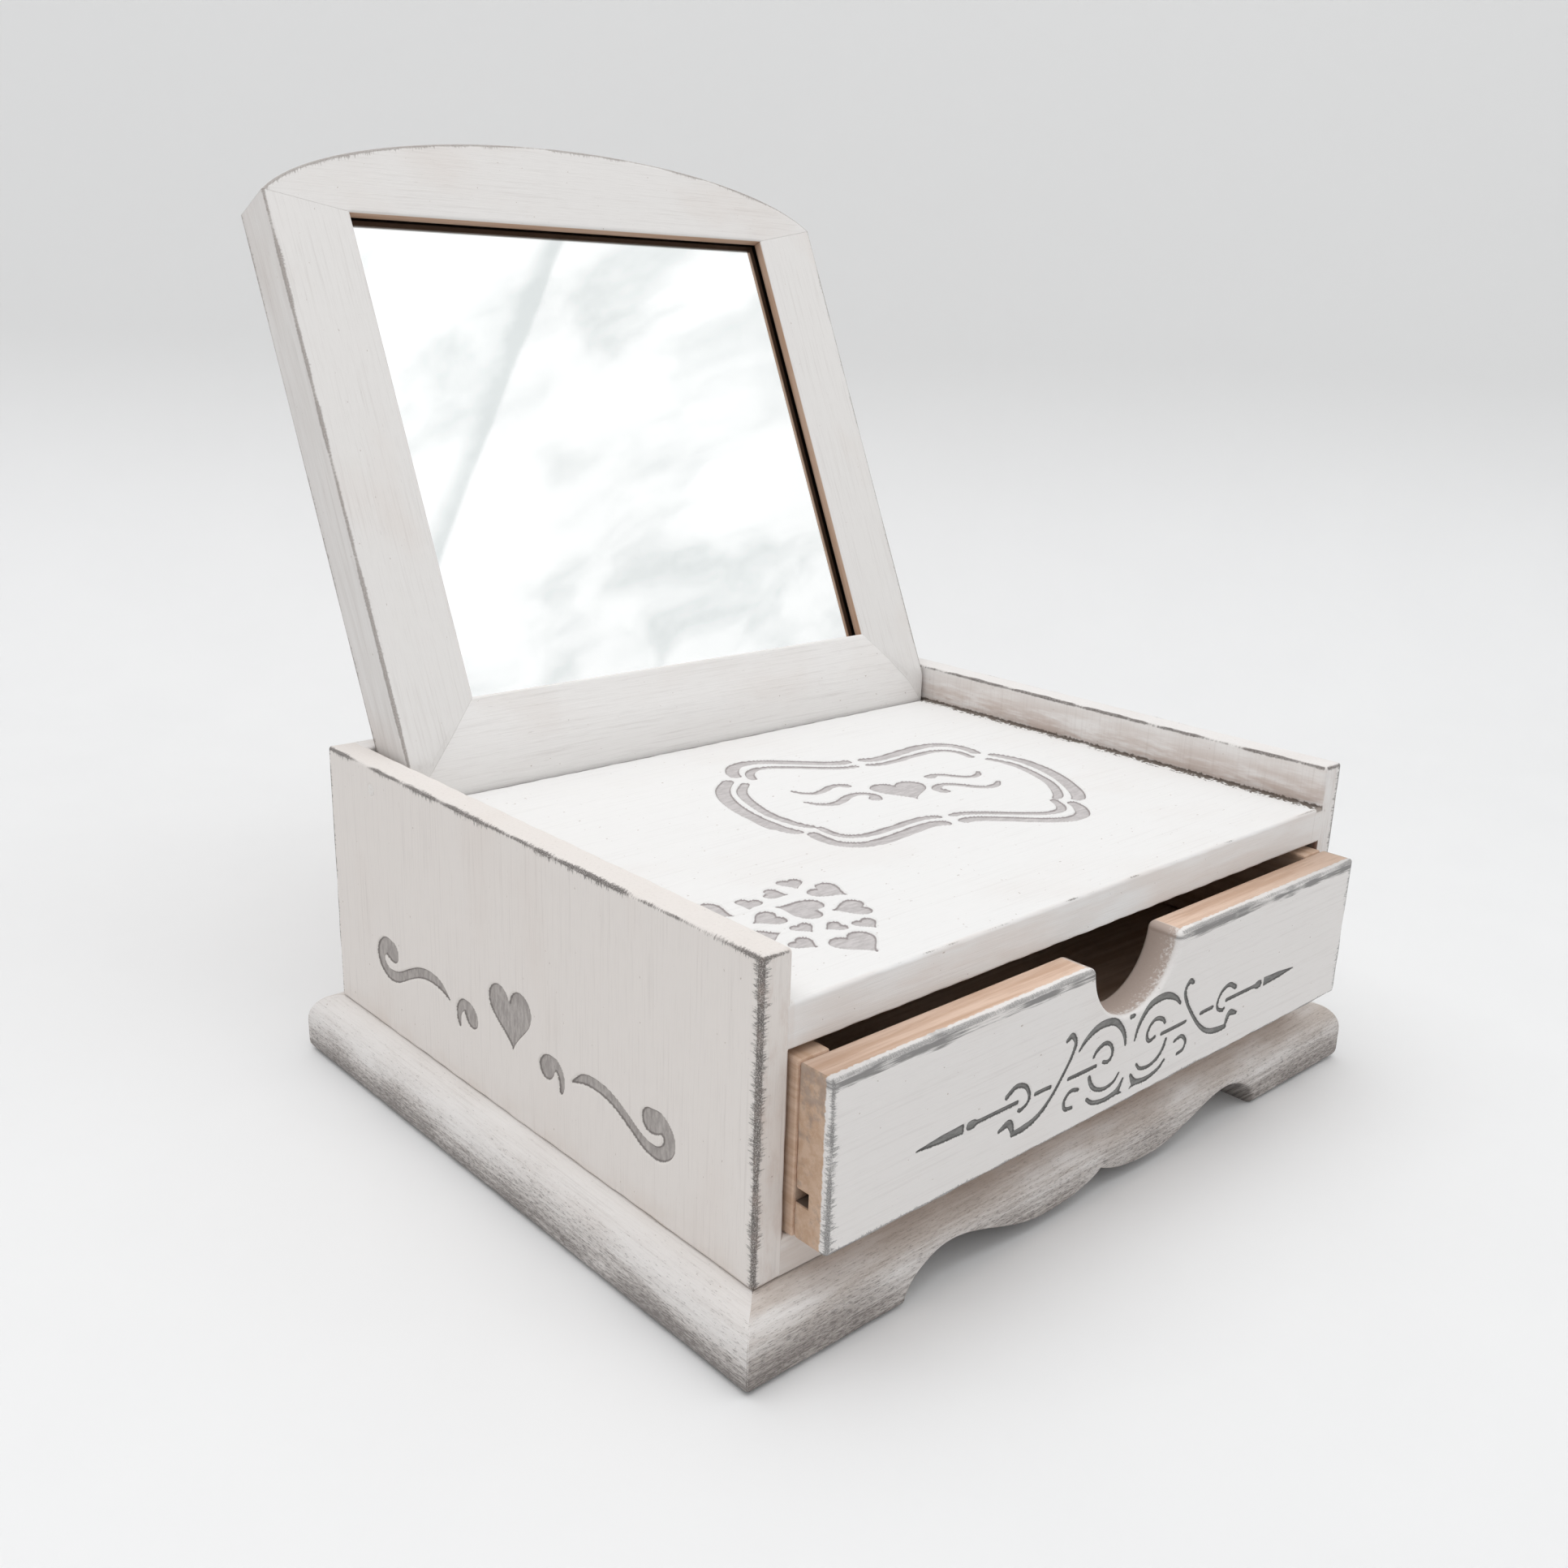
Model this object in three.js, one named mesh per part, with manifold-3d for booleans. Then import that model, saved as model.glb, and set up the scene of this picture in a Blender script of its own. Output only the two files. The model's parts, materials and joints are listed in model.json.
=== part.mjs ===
// Jewellery chest with one drawer and a tilting mirror lid, in millimetres, +Z up.
// The front faces -Y. The case, the lid and the drawer are three groups of separate boards.
// The lid turns on two steel pins near the back of the case. It is drawn leaning back against
// the back panel, and the drawer is drawn a little way out.

import * as THREE from 'three';
import { mergeVertices } from 'three/addons/utils/BufferGeometryUtils.js';
import Module from 'manifold-3d';

const wasm = await Module();
wasm.setup();

// ---------------------------------------------------------------- driving dimensions

// Gaps that repeat all over the chest.
const glueLine = 0.1;
const fitGap = 0.3;

// The case: two side panels with everything else standing between them.
const caseWidth = 200;
const caseDepth = 164;
const sideThickness = 7.5;
const backThickness = 7;
const bottomThickness = 9;
const openingHeight = 38.7;
const deckThickness = 9.5;
const railHeight = 10.8;

// The plinth: a bullnosed moulding mitred round all four sides.
const plinthHeight = 16;
const plinthProjection = 7;
const plinthSeat = 9;
const plinthNoseHeight = 7.5;
const plinthFootRound = 2.5;

// The scalloped lower edge of the front plinth, the same on both sides of the middle.
const apronFoot = 42;
const apronCove = 14;
const apronRise = 9.6;
const apronLobeOffset = 19;
const apronLobeRise = 2.8;
const apronCuspRise = 6.6;

// The lid: a mitred frame with an arched top rail, round a mirror.
const lidSideGap = 1.3;
const lidThickness = 15;
const frameWidth = 22;
const windowHeight = 127;
const windowAbovePin = 17.7;
const crownWidth = 23.2;
const archRise = 26;
const archOverrun = 3.8;
const lidHeel = 6;
const heelRidge = 3;
const lipThickness = 3.5;
const rebateWidth = 5;
const mirrorEdgeGap = 0.5;
const mirrorThickness = 2;
const backingThickness = 3;

// The lid's pins, the filler over them, and the brads that hold the mirror's backing.
const pinFromRear = 21.6;
const pinBelowTop = 6;
const pinRadius = 1.3;
const pinHoleRadius = 1.6;
const pinDepthInLid = 13;
const plugRadius = 1.5;
const plugDepth = 1.6;
const heelGap = 0.85;
const bradRadius = 0.6;
const bradLength = 10;

// The drawer: front, sides and back round a thin bottom let into grooves.
const drawerSideGap = 0.5;
const drawerFloorGap = 0.4;
const drawerTopGap = 1.5;
const drawerBackGap = 0.4;
const drawerFrontThickness = 9;
const drawerWallThickness = 8;
const drawerBottomThickness = 3;
const grooveAbove = 8;
const grooveDepth = 4;
const grooveGap = 0.2;
const notchRadius = 15.2;
const drawerPulledOut = 10.8;

// Round stretches are drawn with this many straight sides.
const roundSides = 24;
const bradSides = 12;
const noseSteps = 8;
const archSteps = 40;
const curveSteps = 12;
const notchSides = 48;
const cutMargin = 1;

// ---------------------------------------------------------------- places worked out from them

const halfCase = caseWidth / 2;
const halfInside = halfCase - sideThickness;
const insideBack = caseDepth - backThickness;
const openingBottom = plinthHeight + bottomThickness;
const openingTop = openingBottom + openingHeight;
const deckTop = openingTop + deckThickness;
const sideTop = deckTop + railHeight;

const halfLid = halfInside - lidSideGap;
const halfWindow = halfLid - frameWidth;
const windowTop = windowAbovePin + windowHeight;
const halfArch = halfLid + archOverrun;
const archCentre = windowTop + crownWidth - archRise;
const lidCorner = archCentre + archRise * Math.sqrt(1 - (halfLid / halfArch) ** 2);

// Each pin sits where the closed lid's face just clears the deck.
const pinY = caseDepth - pinFromRear;
const pinZ = sideTop - pinBelowTop;
const faceSetback = railHeight - pinBelowTop - fitGap;

// The lid leans back until its rear face meets the front edge of the back panel's top.
const stopDistance = Math.hypot(insideBack - pinY, pinBelowTop);
const stopRise = Math.atan2(pinBelowTop, insideBack - pinY);
const lidLean = Math.acos((lidThickness - faceSetback + fitGap) / stopDistance) - stopRise;

// Leaning back, the bevel at the lid's heel stands upright, just behind the deck.
const heelY = pinY + heelRidge * Math.sin(lidLean) - faceSetback * Math.cos(lidLean);
const deckDepth = heelY - heelGap;

const halfDrawer = halfInside - drawerSideGap;
const drawerHeight = openingHeight - drawerFloorGap - drawerTopGap;
const drawerDepth = insideBack - drawerBackGap;
const drawerFloor = openingBottom + drawerFloorGap;

// ---------------------------------------------------------------- materials

function finish(name, colour, roughness, metalness = 0) {
  return new THREE.MeshStandardMaterial({ name, color: colour, roughness, metalness });
}

const whitePaint = () => finish('white_paint', 0xeae8e5, 0.75);
const wornPaint = () => finish('worn_paint', 0xc4bfbc, 0.8);
const bareWood = () => finish('bare_wood', 0xd9b592, 0.7);
const mirrorGlass = () => finish('mirror', 0xf2f4f5, 0.05, 1);
const fibreboard = () => finish('fibreboard', 0x8a6446, 0.85);
const steel = () => finish('steel', 0x9a9a9c, 0.4, 1);
const filler = () => finish('filler', 0xd8d2cd, 0.9);

// ---------------------------------------------------------------- solids

// A closed geometry as a manifold solid, with its shared corners merged.
function solidOf(geometry) {
  const bare = geometry.index ? geometry.toNonIndexed() : geometry.clone();
  bare.deleteAttribute('normal');
  bare.deleteAttribute('uv');
  const merged = mergeVertices(bare, 1e-4);
  const vertProperties = new Float32Array(merged.attributes.position.array);
  const triVerts = new Uint32Array(merged.index.array);
  return new wasm.Manifold(new wasm.Mesh({ numProp: 3, vertProperties, triVerts }));
}

// The geometry of a manifold solid.
function geometryOf(solid) {
  const mesh = solid.getMesh();
  const geometry = new THREE.BufferGeometry();
  geometry.setAttribute('position', new THREE.BufferAttribute(mesh.vertProperties, 3));
  geometry.setIndex(new THREE.BufferAttribute(mesh.triVerts, 1));
  geometry.computeVertexNormals();
  return geometry;
}

// One geometry with the others cut out of it.
function carve(geometry, cutters) {
  let solid = solidOf(geometry);
  for (const cutter of cutters) {
    solid = solid.subtract(solidOf(cutter));
  }
  return geometryOf(solid);
}

// A box between two opposite corners.
function block([x0, y0, z0], [x1, y1, z1]) {
  const box = new THREE.BoxGeometry(x1 - x0, y1 - y0, z1 - z0);
  return box.translate((x0 + x1) / 2, (y0 + y1) / 2, (z0 + z1) / 2);
}

// A round bar along X, Y or Z between two places on that axis.
function bar(axis, radius, start, end, sides) {
  const cylinder = new THREE.CylinderGeometry(radius, radius, end - start, sides);
  if (axis === 'x') cylinder.rotateZ(-Math.PI / 2);
  if (axis === 'z') cylinder.rotateX(Math.PI / 2);
  const middle = (start + end) / 2;
  const along = { x: [middle, 0, 0], y: [0, middle, 0], z: [0, 0, middle] };
  return cylinder.translate(...along[axis]);
}

function part(name, geometry, material) {
  const mesh = new THREE.Mesh(geometry, material);
  mesh.name = name;
  return mesh;
}

// ---------------------------------------------------------------- the case

// A panel between the two sides, from front to back and bottom to top.
function crossPanel(front, back, bottom, top) {
  const reach = halfInside - glueLine;
  return block([-reach, front, bottom], [reach, back, top]);
}

// A side panel with the hole that the lid's pin is driven through.
function sidePanel(side) {
  const inner = side * halfInside;
  const outer = side * halfCase;
  const low = Math.min(inner, outer);
  const high = Math.max(inner, outer);
  const board = block([low, 0, plinthHeight + glueLine], [high, caseDepth, sideTop]);
  const hole = bar('x', pinHoleRadius, low - cutMargin, high + cutMargin, roundSides);
  return carve(board, [hole.translate(0, pinY, pinZ)]);
}

// The plinth's section: x is how far it stands out from the case's wall, y is its height.
function plinthSection() {
  const section = new THREE.Shape();
  const footEdge = plinthProjection - plinthFootRound;
  section.moveTo(-plinthSeat, 0);
  section.lineTo(footEdge, 0);
  section.absarc(footEdge, plinthFootRound, plinthFootRound, -Math.PI / 2, 0, false);
  section.lineTo(plinthProjection, plinthHeight - plinthNoseHeight);
  section.absellipse(0, plinthHeight - plinthNoseHeight, plinthProjection, plinthNoseHeight,
    0, Math.PI / 2, false, 0);
  section.lineTo(-plinthSeat, plinthHeight);
  section.closePath();
  return section;
}

// A run of plinth along X with its ends mitred, standing out towards -Y.
function plinthRun(halfLength) {
  const run = new THREE.ExtrudeGeometry(plinthSection(), {
    depth: 1, bevelEnabled: false, curveSegments: noseSteps,
  });
  const points = run.attributes.position;
  for (let i = 0; i < points.count; i += 1) {
    const out = points.getX(i);
    const height = points.getY(i);
    const end = 1 - 2 * points.getZ(i);
    points.setXYZ(i, end * (halfLength + out - glueLine), -out, height);
  }
  return run;
}

// One half of the apron's outline, from its foot to the cusp in the middle.
function apronHalf(side) {
  const foot = halfCase + plinthProjection - apronFoot;
  const crest = foot - apronCove;
  const run = crest - apronLobeOffset;
  const cove = new THREE.EllipseCurve(crest, 0, apronCove, apronRise, 0, Math.PI / 2);
  const fall = new THREE.CubicBezierCurve(
    new THREE.Vector2(crest, apronRise),
    new THREE.Vector2(crest - run / 3, apronRise),
    new THREE.Vector2(apronLobeOffset + 0.4 * run, apronLobeRise),
    new THREE.Vector2(apronLobeOffset, apronLobeRise));
  const lobe = new THREE.QuadraticBezierCurve(
    new THREE.Vector2(apronLobeOffset, apronLobeRise),
    new THREE.Vector2(0.4 * apronLobeOffset, apronLobeRise),
    new THREE.Vector2(0, apronCuspRise));
  const points = [
    ...cove.getPoints(curveSteps),
    ...fall.getPoints(curveSteps).slice(1),
    ...lobe.getPoints(curveSteps).slice(1),
  ];
  return points.map((point) => new THREE.Vector2(side * point.x, point.y));
}

// The space under the apron, as a cutter that runs through the front plinth.
function apronCutter() {
  const right = apronHalf(1);
  const left = apronHalf(-1).reverse().slice(1);
  const below = new THREE.Vector2(right[0].x, -cutMargin);
  const outline = new THREE.Shape([
    below, ...right, ...left, new THREE.Vector2(-below.x, -cutMargin),
  ]);
  const depth = plinthProjection + plinthSeat + 2 * cutMargin;
  const cutter = new THREE.ExtrudeGeometry(outline, { depth, bevelEnabled: false });
  return cutter.rotateX(Math.PI / 2).translate(0, plinthSeat + cutMargin, 0);
}

function addPlinth(group) {
  const wide = plinthRun(halfCase);
  const deep = plinthRun(caseDepth / 2);
  const front = part('plinth_front', carve(wide, [apronCutter()]), wornPaint());
  const back = part('plinth_back', wide.clone(), wornPaint());
  back.rotation.z = Math.PI;
  back.position.set(0, caseDepth, 0);
  const left = part('plinth_left', deep, wornPaint());
  left.rotation.z = -Math.PI / 2;
  left.position.set(-halfCase, caseDepth / 2, 0);
  const right = part('plinth_right', deep.clone(), wornPaint());
  right.rotation.z = Math.PI / 2;
  right.position.set(halfCase, caseDepth / 2, 0);
  group.add(front, back, left, right);
}

// The pin that the lid turns on, and the filler over its head.
function addPin(group, name, side) {
  const head = halfCase - plugDepth - glueLine;
  const tip = halfLid - pinDepthInLid;
  const pin = part(`${name}_lid_pin`, bar('x', pinRadius, tip, head, roundSides), steel());
  const plug = part(`${name}_pin_plug`,
    bar('x', plugRadius, halfCase - plugDepth, halfCase, roundSides), filler());
  for (const piece of [pin, plug]) {
    piece.position.set(0, pinY, pinZ);
    piece.rotation.z = side > 0 ? 0 : Math.PI;
    group.add(piece);
  }
}

function makeCase() {
  const group = new THREE.Group();
  const seat = plinthHeight + glueLine;
  const back = insideBack - glueLine;
  group.add(
    part('left_side_panel', sidePanel(-1), whitePaint()),
    part('right_side_panel', sidePanel(1), whitePaint()),
    part('back_panel', crossPanel(insideBack, caseDepth, seat, sideTop), whitePaint()),
    part('bottom_panel', crossPanel(0, back, seat, openingBottom), whitePaint()),
    part('top_deck', crossPanel(0, deckDepth, openingTop, deckTop), whitePaint()));
  addPlinth(group);
  addPin(group, 'left', -1);
  addPin(group, 'right', 1);
  return group;
}

// ---------------------------------------------------------------- the lid

// The lid is drawn upright round its pins: x across, z up the lid, y from its front face back.
// A flat outline in x and z becomes a board that runs from the front face to the back.
function lidBoard(outline, front, back) {
  const board = new THREE.ExtrudeGeometry(new THREE.Shape(outline), {
    depth: back - front, bevelEnabled: false,
  });
  return board.rotateX(Math.PI / 2).translate(0, back - faceSetback, 0);
}

function at(x, z) {
  return new THREE.Vector2(x, z);
}

// The arched top edge, from its right corner to its left.
function archPoints() {
  const corner = Math.acos(halfLid / halfArch);
  const points = [];
  for (let i = 0; i <= archSteps; i += 1) {
    const angle = corner + (Math.PI - 2 * corner) * i / archSteps;
    points.push(at(halfArch * Math.cos(angle), archCentre + archRise * Math.sin(angle)));
  }
  return points;
}

// What is cut from the frame: the rebate behind the lip, the heel's bevel and the pin holes.
function lidCutters() {
  const side = halfWindow + rebateWidth;
  const rebate = block(
    [-side, lipThickness - faceSetback, windowAbovePin - rebateWidth],
    [side, lidThickness - faceSetback + cutMargin, windowTop + rebateWidth]);
  const drop = heelRidge + lidHeel + cutMargin;
  const bevel = new THREE.Shape([
    at(-cutMargin, heelRidge), at(0, heelRidge),
    at(drop * Math.tan(lidLean), heelRidge - drop), at(-cutMargin, heelRidge - drop),
  ]);
  const wedge = new THREE.ExtrudeGeometry(bevel, { depth: 2 * halfInside, bevelEnabled: false });
  wedge.rotateX(Math.PI / 2).rotateZ(Math.PI / 2);
  wedge.translate(-halfInside, -faceSetback, 0);
  const holes = [];
  for (const turn of [0, Math.PI]) {
    const start = halfLid - pinDepthInLid - fitGap;
    const hole = bar('x', pinHoleRadius, start, halfLid + cutMargin, roundSides);
    holes.push(hole.rotateZ(turn));
  }
  return [rebate, wedge, ...holes, ...bradBars(bradRadius + fitGap, bradLength / 2 + fitGap)];
}

// The four brads' places, as bars of one radius and reach: left, right, bottom and top.
function bradBars(radius, reach) {
  const depth = lipThickness + mirrorThickness + backingThickness + 3 * fitGap + bradRadius;
  const side = halfWindow + rebateWidth;
  const middle = windowAbovePin + windowHeight / 2;
  const low = windowAbovePin - rebateWidth;
  const high = windowTop + rebateWidth;
  const y = depth - faceSetback;
  return [
    bar('x', radius, -side - reach, -side + reach, bradSides).translate(0, y, middle),
    bar('x', radius, side - reach, side + reach, bradSides).translate(0, y, middle),
    bar('z', radius, low - reach, low + reach, bradSides).translate(0, y, 0),
    bar('z', radius, high - reach, high + reach, bradSides).translate(0, y, 0),
  ];
}

function makeLid() {
  const group = new THREE.Group();
  const g = glueLine;
  const outlines = {
    lid_top_rail: [at(-halfWindow, windowTop), at(halfWindow, windowTop), ...archPoints()],
    lid_bottom_rail: [
      at(-halfLid, -lidHeel), at(halfLid, -lidHeel),
      at(halfWindow, windowAbovePin), at(-halfWindow, windowAbovePin),
    ],
    lid_left_stile: [
      at(-halfLid, -lidHeel + g), at(-halfWindow, windowAbovePin + g),
      at(-halfWindow, windowTop - g), at(-halfLid, lidCorner - g),
    ],
    lid_right_stile: [
      at(halfLid, lidCorner - g), at(halfWindow, windowTop - g),
      at(halfWindow, windowAbovePin + g), at(halfLid, -lidHeel + g),
    ],
  };
  const cutters = lidCutters();
  for (const [name, outline] of Object.entries(outlines)) {
    const board = lidBoard(outline, 0, lidThickness);
    group.add(part(name, carve(board, cutters), whitePaint()));
  }
  const reach = halfWindow + rebateWidth - mirrorEdgeGap;
  const low = windowAbovePin - rebateWidth + mirrorEdgeGap;
  const high = windowTop + rebateWidth - mirrorEdgeGap;
  const pane = [at(-reach, low), at(reach, low), at(reach, high), at(-reach, high)];
  const mirrorFront = lipThickness + fitGap;
  const backingFront = mirrorFront + mirrorThickness + fitGap;
  group.add(
    part('mirror_glass', lidBoard(pane, mirrorFront, mirrorFront + mirrorThickness),
      mirrorGlass()),
    part('mirror_backing', lidBoard(pane, backingFront, backingFront + backingThickness),
      fibreboard()));
  const brads = bradBars(bradRadius, bradLength / 2);
  ['left', 'right', 'bottom', 'top'].forEach((place, i) => {
    group.add(part(`${place}_brad`, brads[i], steel()));
  });
  group.position.set(0, pinY, pinZ);
  group.rotation.x = -lidLean;
  return group;
}

// ---------------------------------------------------------------- the drawer

// The drawer is drawn shut, with its front face flush with the case, then pulled out.
function makeDrawer() {
  const group = new THREE.Group();
  const grooveLow = grooveAbove - grooveGap;
  const grooveHigh = grooveAbove + drawerBottomThickness + grooveGap;
  const wallFront = drawerFrontThickness + glueLine;
  const wallInside = halfDrawer - drawerWallThickness;
  const backFront = drawerDepth - drawerWallThickness;

  const front = carve(
    block([-halfDrawer, 0, 0], [halfDrawer, drawerFrontThickness, drawerHeight]), [
      block(
        [-halfDrawer - cutMargin, drawerFrontThickness - grooveDepth, grooveLow],
        [halfDrawer + cutMargin, drawerFrontThickness + cutMargin, grooveHigh]),
      bar('y', notchRadius, -cutMargin, drawerFrontThickness + cutMargin, notchSides)
        .translate(0, 0, drawerHeight),
    ]);
  group.add(part('drawer_front', front, whitePaint()));

  for (const [name, side] of [['left', -1], ['right', 1]]) {
    const xs = [side * wallInside, side * halfDrawer].sort((a, b) => a - b);
    const cut = [side * (wallInside - cutMargin), side * (wallInside + grooveDepth)];
    cut.sort((a, b) => a - b);
    const wall = carve(block([xs[0], wallFront, 0], [xs[1], drawerDepth, drawerHeight]), [
      block([cut[0], 0, grooveLow], [cut[1], drawerDepth + cutMargin, grooveHigh]),
    ]);
    group.add(part(`drawer_${name}_side`, wall, bareWood()));
  }

  const backReach = wallInside - glueLine;
  const back = carve(
    block([-backReach, backFront, 0], [backReach, drawerDepth, drawerHeight]), [
      block(
        [-halfDrawer, backFront - cutMargin, grooveLow],
        [halfDrawer, backFront + grooveDepth, grooveHigh]),
    ]);
  group.add(part('drawer_back', back, bareWood()));

  const reach = wallInside + grooveDepth - fitGap;
  const bottom = block(
    [-reach, drawerFrontThickness - grooveDepth + fitGap, grooveAbove],
    [reach, backFront + grooveDepth - fitGap, grooveAbove + drawerBottomThickness]);
  group.add(part('drawer_bottom', bottom, bareWood()));

  group.position.set(0, -drawerPulledOut, drawerFloor);
  return group;
}

// ---------------------------------------------------------------- the whole chest

// The chest stands on z = 0 with the middle of its whole outline over the origin.
const chest = new THREE.Group();
chest.add(makeCase(), makeLid(), makeDrawer());
chest.updateMatrixWorld(true);
const outline = new THREE.Box3().setFromObject(chest, true);
const middle = outline.getCenter(new THREE.Vector3());
chest.position.set(-middle.x, -middle.y, -outline.min.z);

export default chest;
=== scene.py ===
# %% [markdown]
# # A painted jewellery chest
#
# The chest is a small wooden case with one drawer and a mirror in its lid. It was painted
# white over a darker ground and then rubbed back, so that grey shows along the edges, and
# little scrolls and hearts were cut into it with a stencil. The boards' places come from the
# measured model. This script gives each board softened edges, cut ornaments and a finish.

import json
import math

import bmesh
import bpy
import numpy as np
from mathutils import Matrix, Vector


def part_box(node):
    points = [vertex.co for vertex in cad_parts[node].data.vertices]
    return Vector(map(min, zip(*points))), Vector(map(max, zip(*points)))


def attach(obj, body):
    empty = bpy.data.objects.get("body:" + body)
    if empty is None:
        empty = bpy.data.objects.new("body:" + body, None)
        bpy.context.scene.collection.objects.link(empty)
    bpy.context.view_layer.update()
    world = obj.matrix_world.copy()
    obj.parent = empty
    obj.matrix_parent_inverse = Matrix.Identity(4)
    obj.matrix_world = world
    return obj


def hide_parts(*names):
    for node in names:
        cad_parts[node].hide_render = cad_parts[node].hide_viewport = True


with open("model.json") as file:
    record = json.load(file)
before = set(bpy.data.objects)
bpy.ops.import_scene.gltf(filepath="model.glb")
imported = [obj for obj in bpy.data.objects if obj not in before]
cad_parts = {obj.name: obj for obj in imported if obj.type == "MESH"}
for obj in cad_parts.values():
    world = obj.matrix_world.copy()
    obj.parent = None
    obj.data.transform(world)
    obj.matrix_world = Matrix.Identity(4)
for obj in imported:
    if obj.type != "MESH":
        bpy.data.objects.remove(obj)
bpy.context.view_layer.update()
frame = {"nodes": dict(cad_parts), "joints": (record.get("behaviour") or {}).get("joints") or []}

# %% [markdown]
# ## The camera
#
# A camera is a place and three directions: to the right, up, and forward. The columns of its
# matrix are the first two and the reverse of the third. The field of view follows from the
# lens and the sensor's width, so a lens of 34.7 mm on the usual 36 mm sensor is enough.

# %% Camera
VIEW_FROM = Vector((-0.2614, -0.28437, 0.1912))
VIEW_RIGHT = Vector((0.7412, -0.6706, 0.0314)).normalized()
VIEW_FORWARD = Vector((0.6472, 0.7013, -0.2989)).normalized()

eye = bpy.data.cameras.new("eye")
eye.lens = 34.72
eye.sensor_width = 36
eye.clip_start = 0.01
camera = bpy.data.objects.new("eye", eye)
view_up = VIEW_RIGHT.cross(VIEW_FORWARD)
turn = Matrix((VIEW_RIGHT, view_up, -VIEW_FORWARD)).transposed()
camera.matrix_world = Matrix.Translation(VIEW_FROM) @ turn.to_4x4()
bpy.context.scene.collection.objects.link(camera)
bpy.context.scene.camera = camera

# %% [markdown]
# ## Turning arrays into meshes
#
# Every piece is worked out in millimetres as an array of points and an array of faces, and
# put into a mesh in one go. The helper below does that once, so that each piece's own code
# is only its shape. Flat faces are shaded flat and rounded ones smooth. A piece made by
# carrying a section along a path is a row of rings, and the second helper closes it.

# %% A mesh from points and faces
MM = 0.001


def make_piece(name, points, quads, loops=(), smooth=None):
    """A mesh object from points in mm, quads, larger flat polygons, and the quads' smooth flags.

    Points that no face uses are left out.
    """
    corners = np.concatenate([np.reshape(quads, -1)] + [np.asarray(loop) for loop in loops])
    used, corners = np.unique(corners, return_inverse=True)
    corners = corners.reshape(-1)
    faces = corners[:np.size(quads)].reshape(-1, 4).tolist()
    start = np.size(quads)
    for loop in loops:
        faces.append(corners[start:start + len(loop)].tolist())
        start += len(loop)
    if smooth is None:
        smooth = np.ones(len(quads), bool)
    mesh = bpy.data.meshes.new(name)
    mesh.from_pydata((points[used] * MM).tolist(), [], faces)
    mesh.polygons.foreach_set("use_smooth", np.concatenate([smooth, np.zeros(len(loops), bool)]))
    mesh.update()
    piece = bpy.data.objects.new(name, mesh)
    bpy.context.scene.collection.objects.link(piece)
    return piece


def shell_of_loops(name, rings):
    """A closed mesh from rings of points, one after another, with a flat end on each."""
    steps, around, _ = rings.shape
    wrap = np.arange(steps * around).reshape(steps, around)
    wrap = np.concatenate([wrap, wrap[:, :1]], axis=1)
    quads = np.stack([wrap[:-1, :-1], wrap[1:, :-1], wrap[1:, 1:], wrap[:-1, 1:]], axis=-1)
    loops = [wrap[0, :-1], wrap[-1, :-1][::-1]]
    return make_piece(name, rings.reshape(-1, 3), quads.reshape(-1, 4), loops)


def box_mm(*nodes):
    """The lowest and highest corner in mm of the box round these measured nodes."""
    corners = [np.array(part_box(node)) / MM for node in nodes]
    return (np.min([c[0] for c in corners], axis=0), np.max([c[1] for c in corners], axis=0))


# %% [markdown]
# ## A board with softened edges
#
# A board is a box whose edges have been sanded round. A Bevel modifier could do that, but a
# formula gives it directly: shrink the box by the radius, and put every point at that radius
# from the nearest point of the shrunken box. Faces stay flat, edges become quarter rounds and
# corners become eighths of a sphere. Each face is a grid of lines, close together at the
# edges and wherever an ornament is cut, and a face that nobody sees closely is one large
# polygon inside its rounded rim.

# %% Rounded boards
ROUND_STEPS = 3


def grid_lines(low, high, radius, step=12.0, fine=()):
    """Places of grid lines: round each end, every `step`, and closer in each fine stretch."""
    turn = radius * (1 - np.tan(np.linspace(math.pi / 4, 0, ROUND_STEPS + 1)))
    lines = [low + turn, high - turn, np.arange(low + radius + step, high - radius, step)]
    for start, end, gap in fine:
        lines[2] = lines[2][(lines[2] < start - gap) | (lines[2] > end + gap)]
        lines.append(np.arange(start, end + gap, gap))
    return np.unique(np.round(np.concatenate(lines), 4))


def grid_faces(rows, columns):
    """Four corners of every cell of a grid of points that is stored row after row."""
    start = np.arange(rows - 1)[:, None] * columns + np.arange(columns - 1)
    start = start.reshape(-1)
    return np.stack([start, start + columns, start + columns + 1, start + 1], axis=1)


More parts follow.
